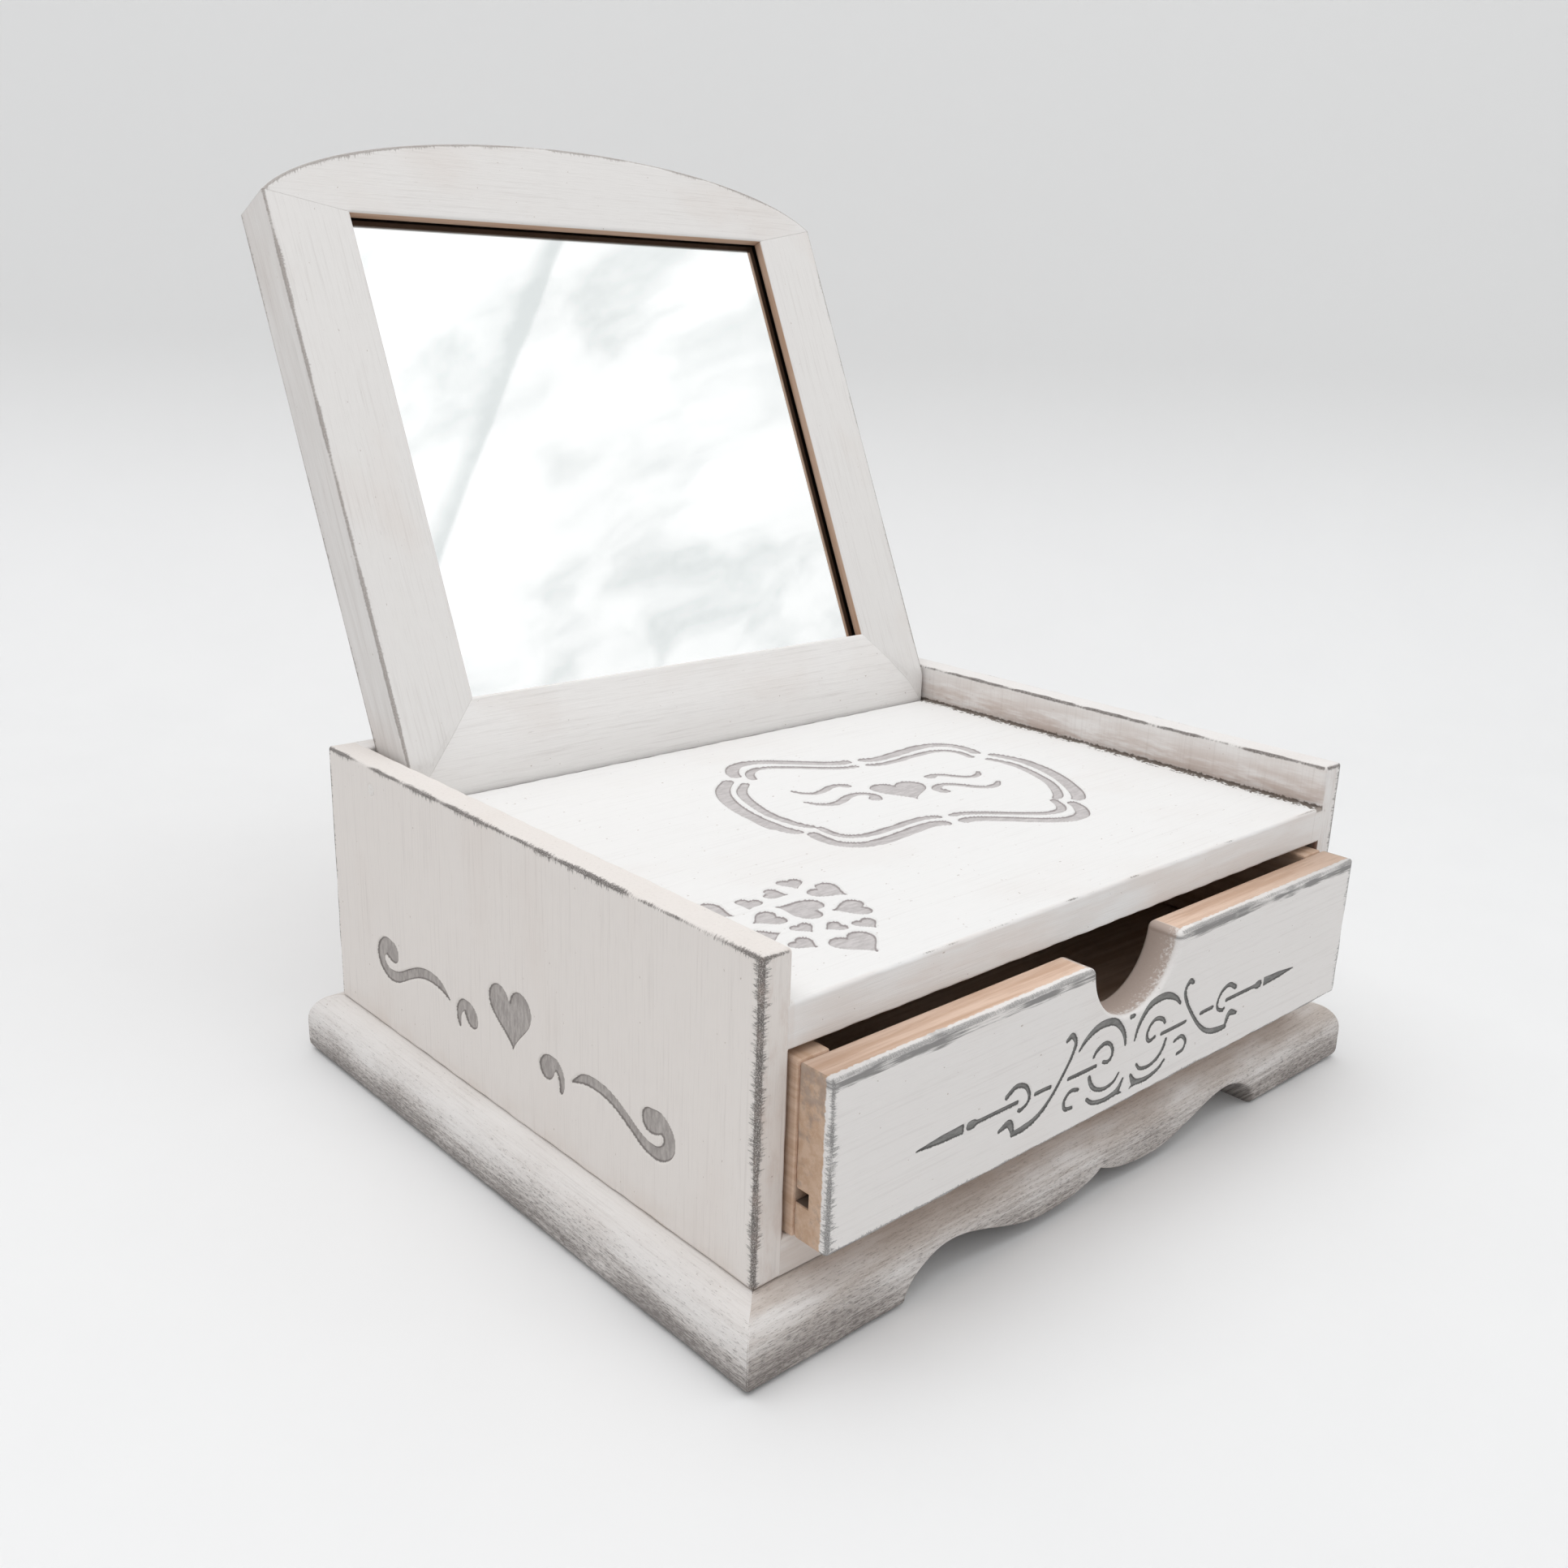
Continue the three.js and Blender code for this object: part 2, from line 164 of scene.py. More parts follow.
def rounded_board(low, high, radius, lines, capped=(), wobble=0.25):
    """Points, quads, big polygons and smooth flags of a box with rounded edges, in mm.

    Nearest point q = p held between low + r and high - r; finished point = q + r * unit(p - q).
    The radius r swells and shrinks a little along the edges, as sanding by hand leaves it.
    """
    points, cells, caps, start = [], [], [], 0
    for axis in range(3):
        across, up = (axis + 1) % 3, (axis + 2) % 3
        a, b = np.meshgrid(lines[across], lines[up], indexing="ij")
        for end in (0, 1):
            face = np.empty((a.size, 3))
            face[:, axis] = (low, high)[end][axis]
            face[:, across] = a.reshape(-1)
            face[:, up] = b.reshape(-1)
            quads = grid_faces(*a.shape)
            if (axis, end) in capped:
                quads, loop = rim_only(quads, *a.shape)
                caps.append((loop if end == 1 else loop[::-1]) + start)
            points.append(face)
            cells.append((quads if end == 1 else quads[:, ::-1]) + start)
            start += a.size
    box, same = np.unique(np.round(np.concatenate(points), 4), axis=0, return_inverse=True)
    same = same.reshape(-1)
    sway = np.sin(box @ [0.31, 0.23, 0.27]) + np.sin(box @ [0.83, 0.71, 0.59] + 1.3)
    r = (radius * (1 + wobble * 0.5 * sway))[:, None]
    inner = np.clip(box, low + r, high - r)
    away = box - inner
    done = inner + r * away / np.linalg.norm(away, axis=1)[:, None]
    quads = same[np.concatenate(cells)]
    corners = box[quads]
    reach = 1.3 * radius
    near_edge = (corners.max(axis=1) < low + reach) | (corners.min(axis=1) > high - reach)
    smooth = near_edge.sum(axis=1) > 1
    return done, quads, [same[loop] for loop in caps], smooth


def rim_only(cells, rows, columns):
    """Only the cells round a grid's rim, and the loop of points that bounds the middle."""
    rim = ROUND_STEPS + 1
    row, column = np.divmod(np.arange((rows - 1) * (columns - 1)), columns - 1)
    edge = (row < rim) | (row >= rows - 1 - rim) | (column < rim) | (column >= columns - 1 - rim)
    places = np.arange(rows * columns).reshape(rows, columns)[rim:rows - rim, rim:columns - rim]
    loop = np.concatenate([places[:-1, 0], places[-1, :-1], places[:0:-1, -1], places[0, :0:-1]])
    return cells[edge], loop


# %% [markdown]
# ## Ornaments as distances
#
# The scrolls are strokes of changing width and the hearts are closed outlines. Both become
# one number at every point of a board's face: how far the point is from the ornament's edge,
# less than nothing inside it. The face is sunk where that number is negative, and the same
# number, kept on the mesh, tells the paint where the cut is. Drawing cutters and subtracting
# them would give the same hollow, but not the soft edge and not the number.

# %% Strokes and outlines
def smooth_line(knots, per_span=6):
    """A curve through rows of (x, y, width), by Catmull and Rom's cubic.

    Between knots b and c, with a before and d after, the row at share t is half of
    2b + (c - a) t + (2a - 5b + 4c - d) t^2 + (3b - a - 3c + d) t^3.
    """
    knots = np.array(knots, float)
    ends = np.concatenate([[2 * knots[0] - knots[1]], knots, [2 * knots[-1] - knots[-2]]])
    a, b, c, d = (ends[i:len(ends) - 3 + i, None, :] for i in range(4))
    t = (np.arange(per_span) / per_span)[None, :, None]
    curve = (2 * b + (c - a) * t + (2 * a - 5 * b + 4 * c - d) * t ** 2
             + (3 * b - a - 3 * c + d) * t ** 3) / 2
    return np.concatenate([curve.reshape(-1, 3), knots[-1:]])


def to_segments(points, starts, ends):
    """Distance of every point from every straight segment, and the share along it."""
    run = ends - starts
    reach = points[:, None, :] - starts
    share = np.clip((reach * run).sum(2) / np.maximum((run ** 2).sum(1), 1e-9), 0, 1)
    gap = reach - share[..., None] * run
    return np.sqrt((gap ** 2).sum(2)), share


def stroke_distance(points, line):
    """Distance to a stroke's edge: distance to its middle line less half its width there."""
    gap, share = to_segments(points, line[:-1, :2], line[1:, :2])
    half = (line[:-1, 2] + share * (line[1:, 2] - line[:-1, 2])) / 2
    return (gap - half).min(axis=1)


def outline_distance(points, outline):
    """Distance to a closed outline, negative inside it.

    A point is inside where a ray from it crosses the outline an odd number of times.
    """
    ahead = np.roll(outline, -1, axis=0)
    gap, _ = to_segments(points, outline, ahead)
    x, y = points[:, :1], points[:, 1:]
    crosses = (outline[:, 1] > y) != (ahead[:, 1] > y)
    rise = np.where(ahead[:, 1] == outline[:, 1], 1, ahead[:, 1] - outline[:, 1])
    meet = outline[:, 0] + (y - outline[:, 1]) * (ahead[:, 0] - outline[:, 0]) / rise
    inside = (crosses & (x < meet)).sum(axis=1) % 2 == 1
    return np.where(inside, -1, 1) * gap.min(axis=1)


FAR = 3.0


def ornament_distance(points, strokes, outlines):
    """The least distance to any stroke or outline, held to 3 mm, for points in a plane."""
    nearest = np.full(len(points), FAR)
    shapes = [(smooth_line(knots), stroke_distance) for knots in strokes]
    shapes += [(np.array(outline, float), outline_distance) for outline in outlines]
    for shape, distance in shapes:
        low, high = shape[:, :2].min(axis=0) - 2 * FAR, shape[:, :2].max(axis=0) + 2 * FAR
        near = np.where(((points > low) & (points < high)).all(axis=1))[0]
        if len(near):
            nearest[near] = np.minimum(nearest[near], distance(points[near], shape))
    return nearest


CUT_DEPTH = 0.55
CUT_SLOPE = 0.5


def sink(distance, depth=CUT_DEPTH):
    """How deep the cut is: nothing outside, `depth` inside, and a smooth step between them."""
    t = np.clip(0.5 - distance / CUT_SLOPE, 0, 1)
    return depth * t * t * (3 - 2 * t)


def keep(piece, name, values):
    """Keeps one number for each point on the mesh, where a material can read it."""
    layer = piece.data.attributes.new(name, "FLOAT", "POINT")
    layer.data.foreach_set("value", values.reshape(-1).astype(np.float32))


def keep_distance(piece, distance, quads, loops):
    """Keeps the distance to the ornament for the points that the piece's faces use."""
    used = np.unique(np.concatenate([quads.reshape(-1)] + [np.asarray(loop) for loop in loops]))
    keep(piece, "cut", distance[used])


# %% [markdown]
# ## Hearts and mirrored scrolls
#
# A heart is one closed curve, and every heart on the chest is the same curve moved, turned
# and made larger. Each scroll is drawn once and mirrored.

# %% Heart and mirror helpers
HEART_STEPS = 72


def heart(x, y, width, tip, tall=0.95):
    """A heart round (x, y): across is sin^3 t, up is 13 cos t - 5 cos 2t - 2 cos 3t - cos 4t.

    `tip` is the direction of its point in degrees, and `tall` its height for a width of 1.
    """
    t = np.linspace(0, 2 * math.pi, HEART_STEPS, endpoint=False)
    up = (13 * np.cos(t) - 5 * np.cos(2 * t) - 2 * np.cos(3 * t) - np.cos(4 * t) + 2.5) / 29
    across = np.sin(t) ** 3 / 2
    angle = math.radians(tip + 90)
    c, s = math.cos(angle), math.sin(angle)
    flat = np.stack([across, up * tall], axis=1) * width
    return flat @ np.array([[c, s], [-s, c]]) + [x, y]


def mirrored(strokes, about=0.0, axis=0):
    """The same strokes and their mirror images about a line across the given axis."""
    flip = []
    for knots in strokes:
        other = np.array(knots, float)
        other[:, axis] = 2 * about - other[:, axis]
        flip.append(other.tolist())
    return [list(knots) for knots in strokes] + flip


# %% [markdown]
# ## The side panels
#
# Each side panel carries a heart between two commas and two long scrolls. A scroll is a
# round bulb whose stroke curls under it and runs out to a point. The ornament is drawn on
# the panel's outer face as seen from outside, with its width measured from the rear edge.
# The pin that the lid turns on was driven in from outside, and its hole filled.

# %% Side panels
SIDE_SCROLL = [
    (28.6, 37.9, 5.6), (27.2, 38.2, 5.4), (25.2, 38.6, 4.6), (23.0, 37.2, 4.0), (22.5, 35.1, 3.8),
    (23.7, 32.9, 3.4), (26.5, 31.5, 3.1), (30.0, 31.8, 2.9), (33.1, 33.1, 2.6), (36.9, 35.1, 2.6),
    (40.8, 36.8, 2.7), (44.6, 37.7, 2.8), (48.5, 37.8, 2.7), (51.9, 37.1, 2.2), (55.5, 35.1, 0.5)]
SIDE_COMMA = [
    (65.2, 34.3, 5.4), (64.6, 35.0, 5.2), (63.4, 36.1, 3.6), (61.4, 36.2, 3.0),
    (59.8, 34.7, 2.6), (59.4, 32.4, 2.0), (59.7, 30.8, 1.3)]
SIDE_MIDDLE = 80.4
SIDE_HEART = (81.7, 40.2, 17.4, -84)
SIDE_RADIUS = 0.9
SIDE_FINE = 0.4
SCROLL_LENGTH, SCROLL_HEIGHT = (142, 19), (28.5, 48.5)
PLUG_HOLE = 1.6
PLUG_SINK = 0.22
PLUG_PATCH, PLUG_FINE = 2.2, 0.3


def side_panel(name, outward):
    """A side panel with its ornament and the dish for its plug on the outer face."""
    low, high = box_mm(name)
    pin_low, pin_high = box_mm(name.split("_")[0] + "_pin_plug")
    pin = (pin_low + pin_high)[1:] / 2
    near_pin = [(middle - PLUG_PATCH, middle + PLUG_PATCH, PLUG_FINE) for middle in pin]
    lines = [
        grid_lines(low[0], high[0], SIDE_RADIUS),
        grid_lines(low[1], high[1], SIDE_RADIUS,
                   fine=[(*(high[1] - np.array(SCROLL_LENGTH)), SIDE_FINE), near_pin[0]]),
        grid_lines(low[2], high[2], SIDE_RADIUS, fine=[(*SCROLL_HEIGHT, SIDE_FINE), near_pin[1]])]
    inner_face = (0, 1) if outward < 0 else (0, 0)
    points, quads, loops, smooth = rounded_board(low, high, SIDE_RADIUS, lines, [inner_face])
    flat = np.stack([high[1] - points[:, 1], points[:, 2]], axis=1)
    strokes = mirrored([SIDE_SCROLL, SIDE_COMMA], SIDE_MIDDLE)
    distance = ornament_distance(flat, strokes, [heart(*SIDE_HEART, tall=0.86)])
    outer = (points[:, 0] - low[0] < 0.01) if outward < 0 else (high[0] - points[:, 0] < 0.01)
    distance = np.where(outer, distance, FAR)
    dish = np.hypot(points[:, 1] - pin[0], points[:, 2] - pin[1]) - PLUG_HOLE
    depth = sink(distance) + np.where(outer, sink(dish, PLUG_SINK), 0)
    points[:, 0] -= outward * depth
    smooth |= (depth[quads] > 0).any(axis=1)
    panel = make_piece(name + "_board", points, quads, loops, smooth)
    keep_distance(panel, distance, quads, loops)
    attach(panel, "case")
    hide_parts(name)
    print(panel.name, len(panel.data.polygons), "faces")
    return panel


side_boards = [side_panel("left_side_panel", -1), side_panel("right_side_panel", 1)]

# %% [markdown]
# ## The deck
#
# The deck is the flat top under the lid. A double frame of curved strokes is cut in its
# middle, each ring in six pieces as a stencil needs, and a scatter of little hearts near its
# left corner. Inside the frame stand a heart and two pairs of scrolls.

# %% Deck ornament
# Boards that stand between the sides are let into them, 1.5 mm at each end.
LET_IN = np.array([1.5, 0, 0])
DECK_RADIUS = 0.8
DECK_SPREAD = 0.35
HEART_PATCH, HEART_FINE = ((-81.5, -43.5), (6.5, 47)), 0.42
FRAME_PATCH, FRAME_FINE = ((-32, 67), (47.5, 121)), 0.5
FRAME_CENTRE = (16.1, 76.4)
FRAME_TURN = -18.0
OUTER_CORNER = [
    (2.9, -27.3, 3.0), (4.8, -26.9, 3.2), (8.1, -27.5, 3.2), (13, -29.5, 3.2),
    (17.9, -31.7, 3.2), (22.7, -33.7, 3.2), (27.2, -34.7, 3.2), (30.7, -34.3, 3.2),
    (34.2, -32.1, 3.1), (36.3, -27.9, 3.0), (36.8, -24.3, 2.6)]
OUTER_SIDE = [
    (39.7, -21.6, 2.4), (41.1, -20.4, 3.0), (43.1, -16.6, 3.4), (44.8, -11.1, 3.4),
    (46.2, -4.3, 3.4), (46.6, 2.9, 3.4), (45.9, 9.6, 3.4), (44, 15.3, 3.2), (40.6, 20.5, 2.6)]
INNER_CORNER = [
    (2.2, -22.6, 1.8), (3.4, -22.3, 2.0), (6.5, -22.5, 2.0), (10.4, -23.6, 2.0), (15.3, -25.6, 2.0),
    (20.1, -27.5, 2.0), (24.7, -28.9, 2.0), (28.2, -28.8, 2.0), (30.7, -27.6, 2.0),
    (32.5, -24.9, 1.9), (33.3, -20.8, 1.7)]
INNER_SIDE = [
    (35.2, -19.1, 1.8), (37, -17.1, 2.1), (39.1, -12.9, 2.2), (40.9, -7.4, 2.2), (41.5, -0.9, 2.2),
    (41.4, 6, 2.2), (40.2, 11.9, 2.2), (37.1, 17.2, 1.8)]
MIDDLE_SCROLL = [
    (10.0, -4.5, 3.0), (9.2, -2.6, 2.2), (10.4, -0.4, 1.9), (13.2, 0.4, 1.9), (16.6, -1.2, 2.0),
    (19.6, -3.8, 2.1), (22.8, -5.2, 2.0), (26.0, -4.2, 1.6), (28.4, -1.6, 0.6)]
UPPER_SCROLL = [
    (12.6, 7.6, 2.6), (14.4, 8.6, 1.9), (17.2, 7.8, 1.8), (20.0, 5.6, 1.8), (23.2, 4.2, 1.7),
    (26.2, 5.4, 1.3), (27.8, 7.8, 0.5)]
MIDDLE_HEART = (0.0, -1.0, 15.0, -90)
DECK_HEARTS = [
    (-63.6, 11.9, 10.1, -90), (-60.8, 32.5, 10.2, 133), (-48.9, 35.8, 8.3, -68),
    (-52.2, 26.3, 8.0, 162), (-52.7, 43.8, 5.4, -106), (-59.3, 41.5, 5.0, -43),
    (-67.6, 40.6, 5.3, -130), (-76.5, 41.5, 9.0, -60), (-70.1, 32.3, 7.0, 180),
    (-75.5, 26.0, 6.0, -10), (-67.1, 24.2, 4.6, -90), (-61.7, 21.0, 4.4, 180),
    (-55.3, 18.1, 5.0, -92), (-72.3, 18.3, 5.5, -73)]


def turned(knots, centre, angle):
    """The strokes' places turned about the origin and moved to the centre, widths unchanged."""
    c, s = math.cos(math.radians(angle)), math.sin(math.radians(angle))
    knots = np.array(knots, float)
    knots[:, :2] = knots[:, :2] @ np.array([[c, s], [-s, c]]) + centre
    return knots


def deck_board():
    """The deck with its frame, hearts and scrolls cut into the upper face."""
    low, high = box_mm("top_deck")
    low, high = low - LET_IN, high + LET_IN
    front = low[1]
    patches = ((*HEART_PATCH, HEART_FINE), (*FRAME_PATCH, FRAME_FINE))
    lines = [
        grid_lines(low[0], high[0], DECK_RADIUS, fine=[(*wide, gap) for wide, _, gap in patches]),
        grid_lines(front, high[1], DECK_RADIUS,
                   fine=[(front + near, front + far, gap) for _, (near, far), gap in patches]),
        grid_lines(low[2], high[2], DECK_RADIUS)]
    points, quads, loops, smooth = rounded_board(low, high, DECK_RADIUS, lines, [(2, 0)])
    flat = points[:, :2] - [0, front]
    quarter = mirrored(mirrored([OUTER_CORNER, INNER_CORNER]), axis=1)
    sides = mirrored([OUTER_SIDE, INNER_SIDE, MIDDLE_SCROLL, UPPER_SCROLL])
    strokes = [turned(knots, FRAME_CENTRE, FRAME_TURN) for knots in quarter + sides]
    middle = np.pad(heart(*MIDDLE_HEART), ((0, 0), (0, 1)))
    outlines = [turned(middle, FRAME_CENTRE, FRAME_TURN)[:, :2]]
    outlines += [heart(*place) for place in DECK_HEARTS]
    distance = np.minimum(ornament_distance(flat, strokes, outlines) - DECK_SPREAD, FAR)
    distance = np.where(high[2] - points[:, 2] < 0.01, distance, FAR)
    depth = sink(distance)
    points[:, 2] -= depth
    smooth |= (depth[quads] > 0).any(axis=1)
    deck = make_piece("deck_board", points, quads, loops, smooth)
    keep_distance(deck, distance, quads, loops)
    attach(deck, "case")
    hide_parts("top_deck")
    print(deck.name, len(deck.data.polygons), "faces")
    return deck


deck = deck_board()

# %% [markdown]
# ## Plain boards
#
# The back and the bottom have no ornament. They are the same rounded boards with a coarser
# grid. The drawer's sides, back and bottom have grooves, and hardly show, so a merged copy of
# each measured board with a Bevel modifier is enough for them.

# %% Back and bottom
def plain_board(name, body, radius=0.8):
    """A rounded board that stands for one measured board, let into the sides at its ends."""
    low, high = box_mm(name)
    low, high = low - LET_IN, high + LET_IN
    lines = [grid_lines(low[i], high[i], radius) for i in range(3)]
    board = make_piece(name + "_board", *rounded_board(low, high, radius, lines))
    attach(board, body)
    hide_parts(name)
    return board


back_board = plain_board("back_panel", "case")
bottom_board = plain_board("bottom_panel", "case")

# %% Softened copies
COPY_BEVEL = 0.5


def softened_copy(name, body, width=COPY_BEVEL):
    """A measured board's own mesh, merged and with its flat faces made whole, then bevelled."""
    mesh = frame["nodes"][name].data.copy()
    mesh.name = name + "_board"
    shape = bmesh.new()
    shape.from_mesh(mesh)
    bmesh.ops.remove_doubles(shape, verts=shape.verts, dist=1e-6)
    bmesh.ops.dissolve_limit(shape, angle_limit=0.01, verts=shape.verts, edges=shape.edges)
    shape.to_mesh(mesh)
    shape.free()
    mesh.materials.clear()
    board = bpy.data.objects.new(mesh.name, mesh)
    bpy.context.scene.collection.objects.link(board)
    bevel = board.modifiers.new("softened", "BEVEL")
    bevel.width = width * MM
    bevel.segments = 2
    bevel.limit_method = "ANGLE"
    bevel.harden_normals = False
    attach(board, body)
    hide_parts(name)
    return board


drawer_boards = [softened_copy(name, "drawer")
                 for name in ("drawer_left_side", "drawer_right_side", "drawer_back")]
drawer_boards.append(softened_copy("drawer_bottom", "drawer", 0.3))
backing = softened_copy("mirror_backing", "lid", 0.3)

# %% [markdown]
# ## The plinth
#
# The plinth is a bullnosed moulding mitred round the case, with a scalloped apron cut from
# its front. It is one section carried along a straight path. For the apron the section's foot
# rises with the path, so the scallop needs no cutter: at each place along the front the
# section is drawn from the apron's height up to the top of the nose.

# %% Plinth section and path
PLINTH_SEAT = 9.0
NOSE_HEIGHT = 7.5
MITRE_GAP = 0.1
APRON_FOOT, APRON_COVE, APRON_RISE = 42.0, 14.0, 9.6
APRON_LOBE, APRON_LOBE_RISE, APRON_CUSP = 19.0, 2.8, 6.6


def bezier(corners, steps):
    """A Bezier curve by De Casteljau: neighbouring corners are mixed by t until one is left."""
    t = np.linspace(0, 1, steps)[:, None]
    rows = [np.broadcast_to(corner, (steps, 2)) for corner in np.array(corners, float)]
    while len(rows) > 1:
        rows = [a + (b - a) * t for a, b in zip(rows[:-1], rows[1:])]
    return rows[0]


def apron_line(half_front):
    """Places across the front and the apron's height there, from the left foot to the right."""
    foot = half_front - APRON_FOOT
    crest = foot - APRON_COVE
    run = crest - APRON_LOBE
    turn = np.linspace(0, math.pi / 2, 14)
    cove = np.stack([crest + APRON_COVE * np.cos(turn), APRON_RISE * np.sin(turn)], axis=1)
    fall = bezier([(crest, APRON_RISE), (crest - run / 3, APRON_RISE),
                   (APRON_LOBE + 0.4 * run, APRON_LOBE_RISE), (APRON_LOBE, APRON_LOBE_RISE)], 14)
    lobe = bezier([(APRON_LOBE, APRON_LOBE_RISE), (0.4 * APRON_LOBE, APRON_LOBE_RISE),
                   (0, APRON_CUSP)], 14)
    flat = np.stack([np.linspace(90, foot + 0.4, 9), np.zeros(9)], axis=1)
    right = np.concatenate([flat, cove, fall[1:], lobe[1:]])[::-1]
    left = right[:0:-1] * [-1, 1]
    return np.concatenate([left, right])


def plinth_section(foot, projection, height):
    """Rows of (out, up) round the section, one row of points for each foot height.

    Nose: out = projection * sqrt(1 - ((up - spring) / nose height)^2) above its spring line.
    Its lower edge is a quarter round, large where the plinth stands and small on the apron.
    """
    foot = foot[:, None]
    spring = height - NOSE_HEIGHT
    r = 0.9 + 1.6 * np.clip(1 - foot / 3, 0, 1)

    def out_at(up):
        above = np.maximum(up - spring, 0) / NOSE_HEIGHT
        return projection * np.sqrt(np.clip(1 - above ** 2, 0, 1))

    under = np.linspace(0, 1, 5)
    turn = np.linspace(0, math.pi / 2, 6)[1:]
    rise = np.linspace(0, 1, 18)[1:]
    back = np.linspace(0, 1, 4)[1:]
    edge = out_at(foot + r) - r
    up_face = foot + r + (height - foot - r) * np.sin(rise * math.pi / 2)
    outs = [-PLINTH_SEAT + (edge + PLINTH_SEAT) * under, edge + r * np.sin(turn),
            out_at(up_face), -PLINTH_SEAT * back + 0 * foot]
    ups = [foot + 0 * under, foot + r * (1 - np.cos(turn)), up_face, height + 0 * back + 0 * foot]
    return np.concatenate(outs, axis=1), np.concatenate(ups, axis=1)


def plinth_run(name, half_length, centre, quarter_turns, apron=False):
    """A run of plinth: the section carried along x, its ends mitred, then turned into place."""
    low, high = box_mm("plinth_front")
    case_low, _ = box_mm("left_side_panel")
    height, projection = high[2], case_low[1] - low[1]
    if apron:
        path = apron_line(high[0] + MITRE_GAP)
    else:
        along = np.linspace(-half_length + PLINTH_SEAT + 1, half_length - PLINTH_SEAT - 1, 40)
        path = np.stack([along, 0 * along], axis=1)
    ends = np.array([[-1.0, 0], [-1.0, 0]])
    path = np.concatenate([ends, path, -ends])
    outs, ups = plinth_section(path[:, 1], projection, height)
    steps, around = outs.shape
    x = np.repeat(path[:, :1], around, axis=1)
    soft = 0.45
    for place, side, back in ((0, -1, 0), (1, -1, soft), (-1, 1, 0), (-2, 1, soft)):
        x[place] = side * (half_length + outs[place] - MITRE_GAP - back)
    shrink = np.array([0.22, 0] + [0] * (steps - 4) + [0, 0.22])[:, None]
    outs = outs - shrink * (outs > 0)
    ups = ups - 0.5 * shrink * (ups > height / 2) + 0.5 * shrink * (ups < height / 2)
    sway = 0.12 * np.sin(x * 0.11 + 0.7) * np.sin(ups * 0.3) + 0.05 * np.sin(x * 0.37 + ups)
    outs = outs - np.abs(sway) * (outs > 0.5)
    points = np.stack([x, -outs, np.clip(ups, 0, height)], axis=2)
    c, s = [(1, 0), (0, 1), (-1, 0), (0, -1)][quarter_turns]
    points = points @ np.array([[c, s, 0], [-s, c, 0], [0, 0, 1]]) + [*centre, 0]
    run = shell_of_loops(name + "_run", points)
    run.data.set_sharp_from_angle(angle=math.radians(38))
    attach(run, "case")
    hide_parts(name)
    return run


def plinth():
    """The four runs, each from the middle of its own side of the case."""
    low, high = box_mm("left_side_panel", "right_side_panel")
    middle = (low[1] + high[1]) / 2
    half_wide, half_deep = high[0], (high[1] - low[1]) / 2
    return [
        plinth_run("plinth_front", half_wide, (0, low[1]), 0, apron=True),
        plinth_run("plinth_right", half_deep, (high[0], middle), 1),
        plinth_run("plinth_back", half_wide, (0, high[1]), 2),
        plinth_run("plinth_left", half_deep, (low[0], middle), 3)]


plinth_runs = plinth()
print("plinth:", [len(run.data.polygons) for run in plinth_runs], "faces")

# %% [markdown]
# ## The lid's frame
#
# The lid is a mitred frame: two stiles, a bottom rail with a bevelled heel, and a top rail
# whose upper edge is an arch. Behind a thin lip all four are rebated for the mirror. They are
# drawn in the lid's own plane, where x runs across, `rise` up from the pins and `depth` back
# from the front face, and then leaned back as the measured lid leans. One section serves all
# four: each of its points hangs a few millimetres from the inner edge or from the outer one.

# %% The lid's own plane
hinge = next(joint for joint in frame["joints"] if joint["name"] == "lid_hinge")
PIN = np.array(hinge["pos_m"]) / MM
pane = np.array([corner.co for corner in frame["nodes"]["mirror_glass"].data.vertices]) / MM
spread = np.linalg.svd(pane[:, 1:] - pane[:, 1:].mean(axis=0), full_matrices=False)[2][0]
UP_LID = spread * np.sign(spread[1])
BACK_LID = np.array([UP_LID[1], -UP_LID[0]])
LEAN = math.atan2(UP_LID[0], UP_LID[1])
print("the lid leans back", round(math.degrees(LEAN), 2), "degrees")


def in_lid(name):
    """A measured node's lowest and highest corner as (x, back from the pins, rise)."""
    places = np.array([corner.co for corner in frame["nodes"][name].data.vertices]) / MM - PIN
    flat = np.stack([places[:, 0], places[:, 1:] @ BACK_LID, places[:, 1:] @ UP_LID], axis=1)
    return flat.min(axis=0), flat.max(axis=0)


def out_of_lid(points):
    """Points as (x, back, rise) put where they are on the leaning lid."""
    flat = points[:, 1:2] * BACK_LID + points[:, 2:3] * UP_LID
    return np.column_stack([points[:, 0], flat]) + PIN


stile_low, stile_high = in_lid("lid_right_stile")
rail_low, rail_high = in_lid("lid_bottom_rail")
crown_low, crown_high = in_lid("lid_top_rail")
LID_HALF, WINDOW_HALF = stile_high[0], stile_low[0]
FACE, LID_THICK = stile_low[1], stile_high[1] - stile_low[1]
HEEL, SILL, HEAD, CROWN = rail_low[2], rail_high[2], crown_low[2], crown_high[2]
SHOULDER = stile_high[2] + 0.1
ARCH_HALF, ARCH_RISE = LID_HALF + 3.8, 26.0
LIP, REBATE = 3.5, 5.0
HEEL_RIDGE = 3.0
ARRIS = 0.8

# %% One section for the four members
def hang(inner, outer, offset):
    """Shares of the way from inner to outer points at which a point is `offset` out of the window.

    Out of the window means the larger of how far it is past the window's side and past its
    top or bottom, so that the rebates of two members meet on their mitre.
    """
    run = np.maximum(np.abs(outer - inner), 1e-6)
    side = (offset + WINDOW_HALF - np.abs(inner[:, 0])) / run[:, 0]
    return np.minimum(side, offset / run[:, 1])


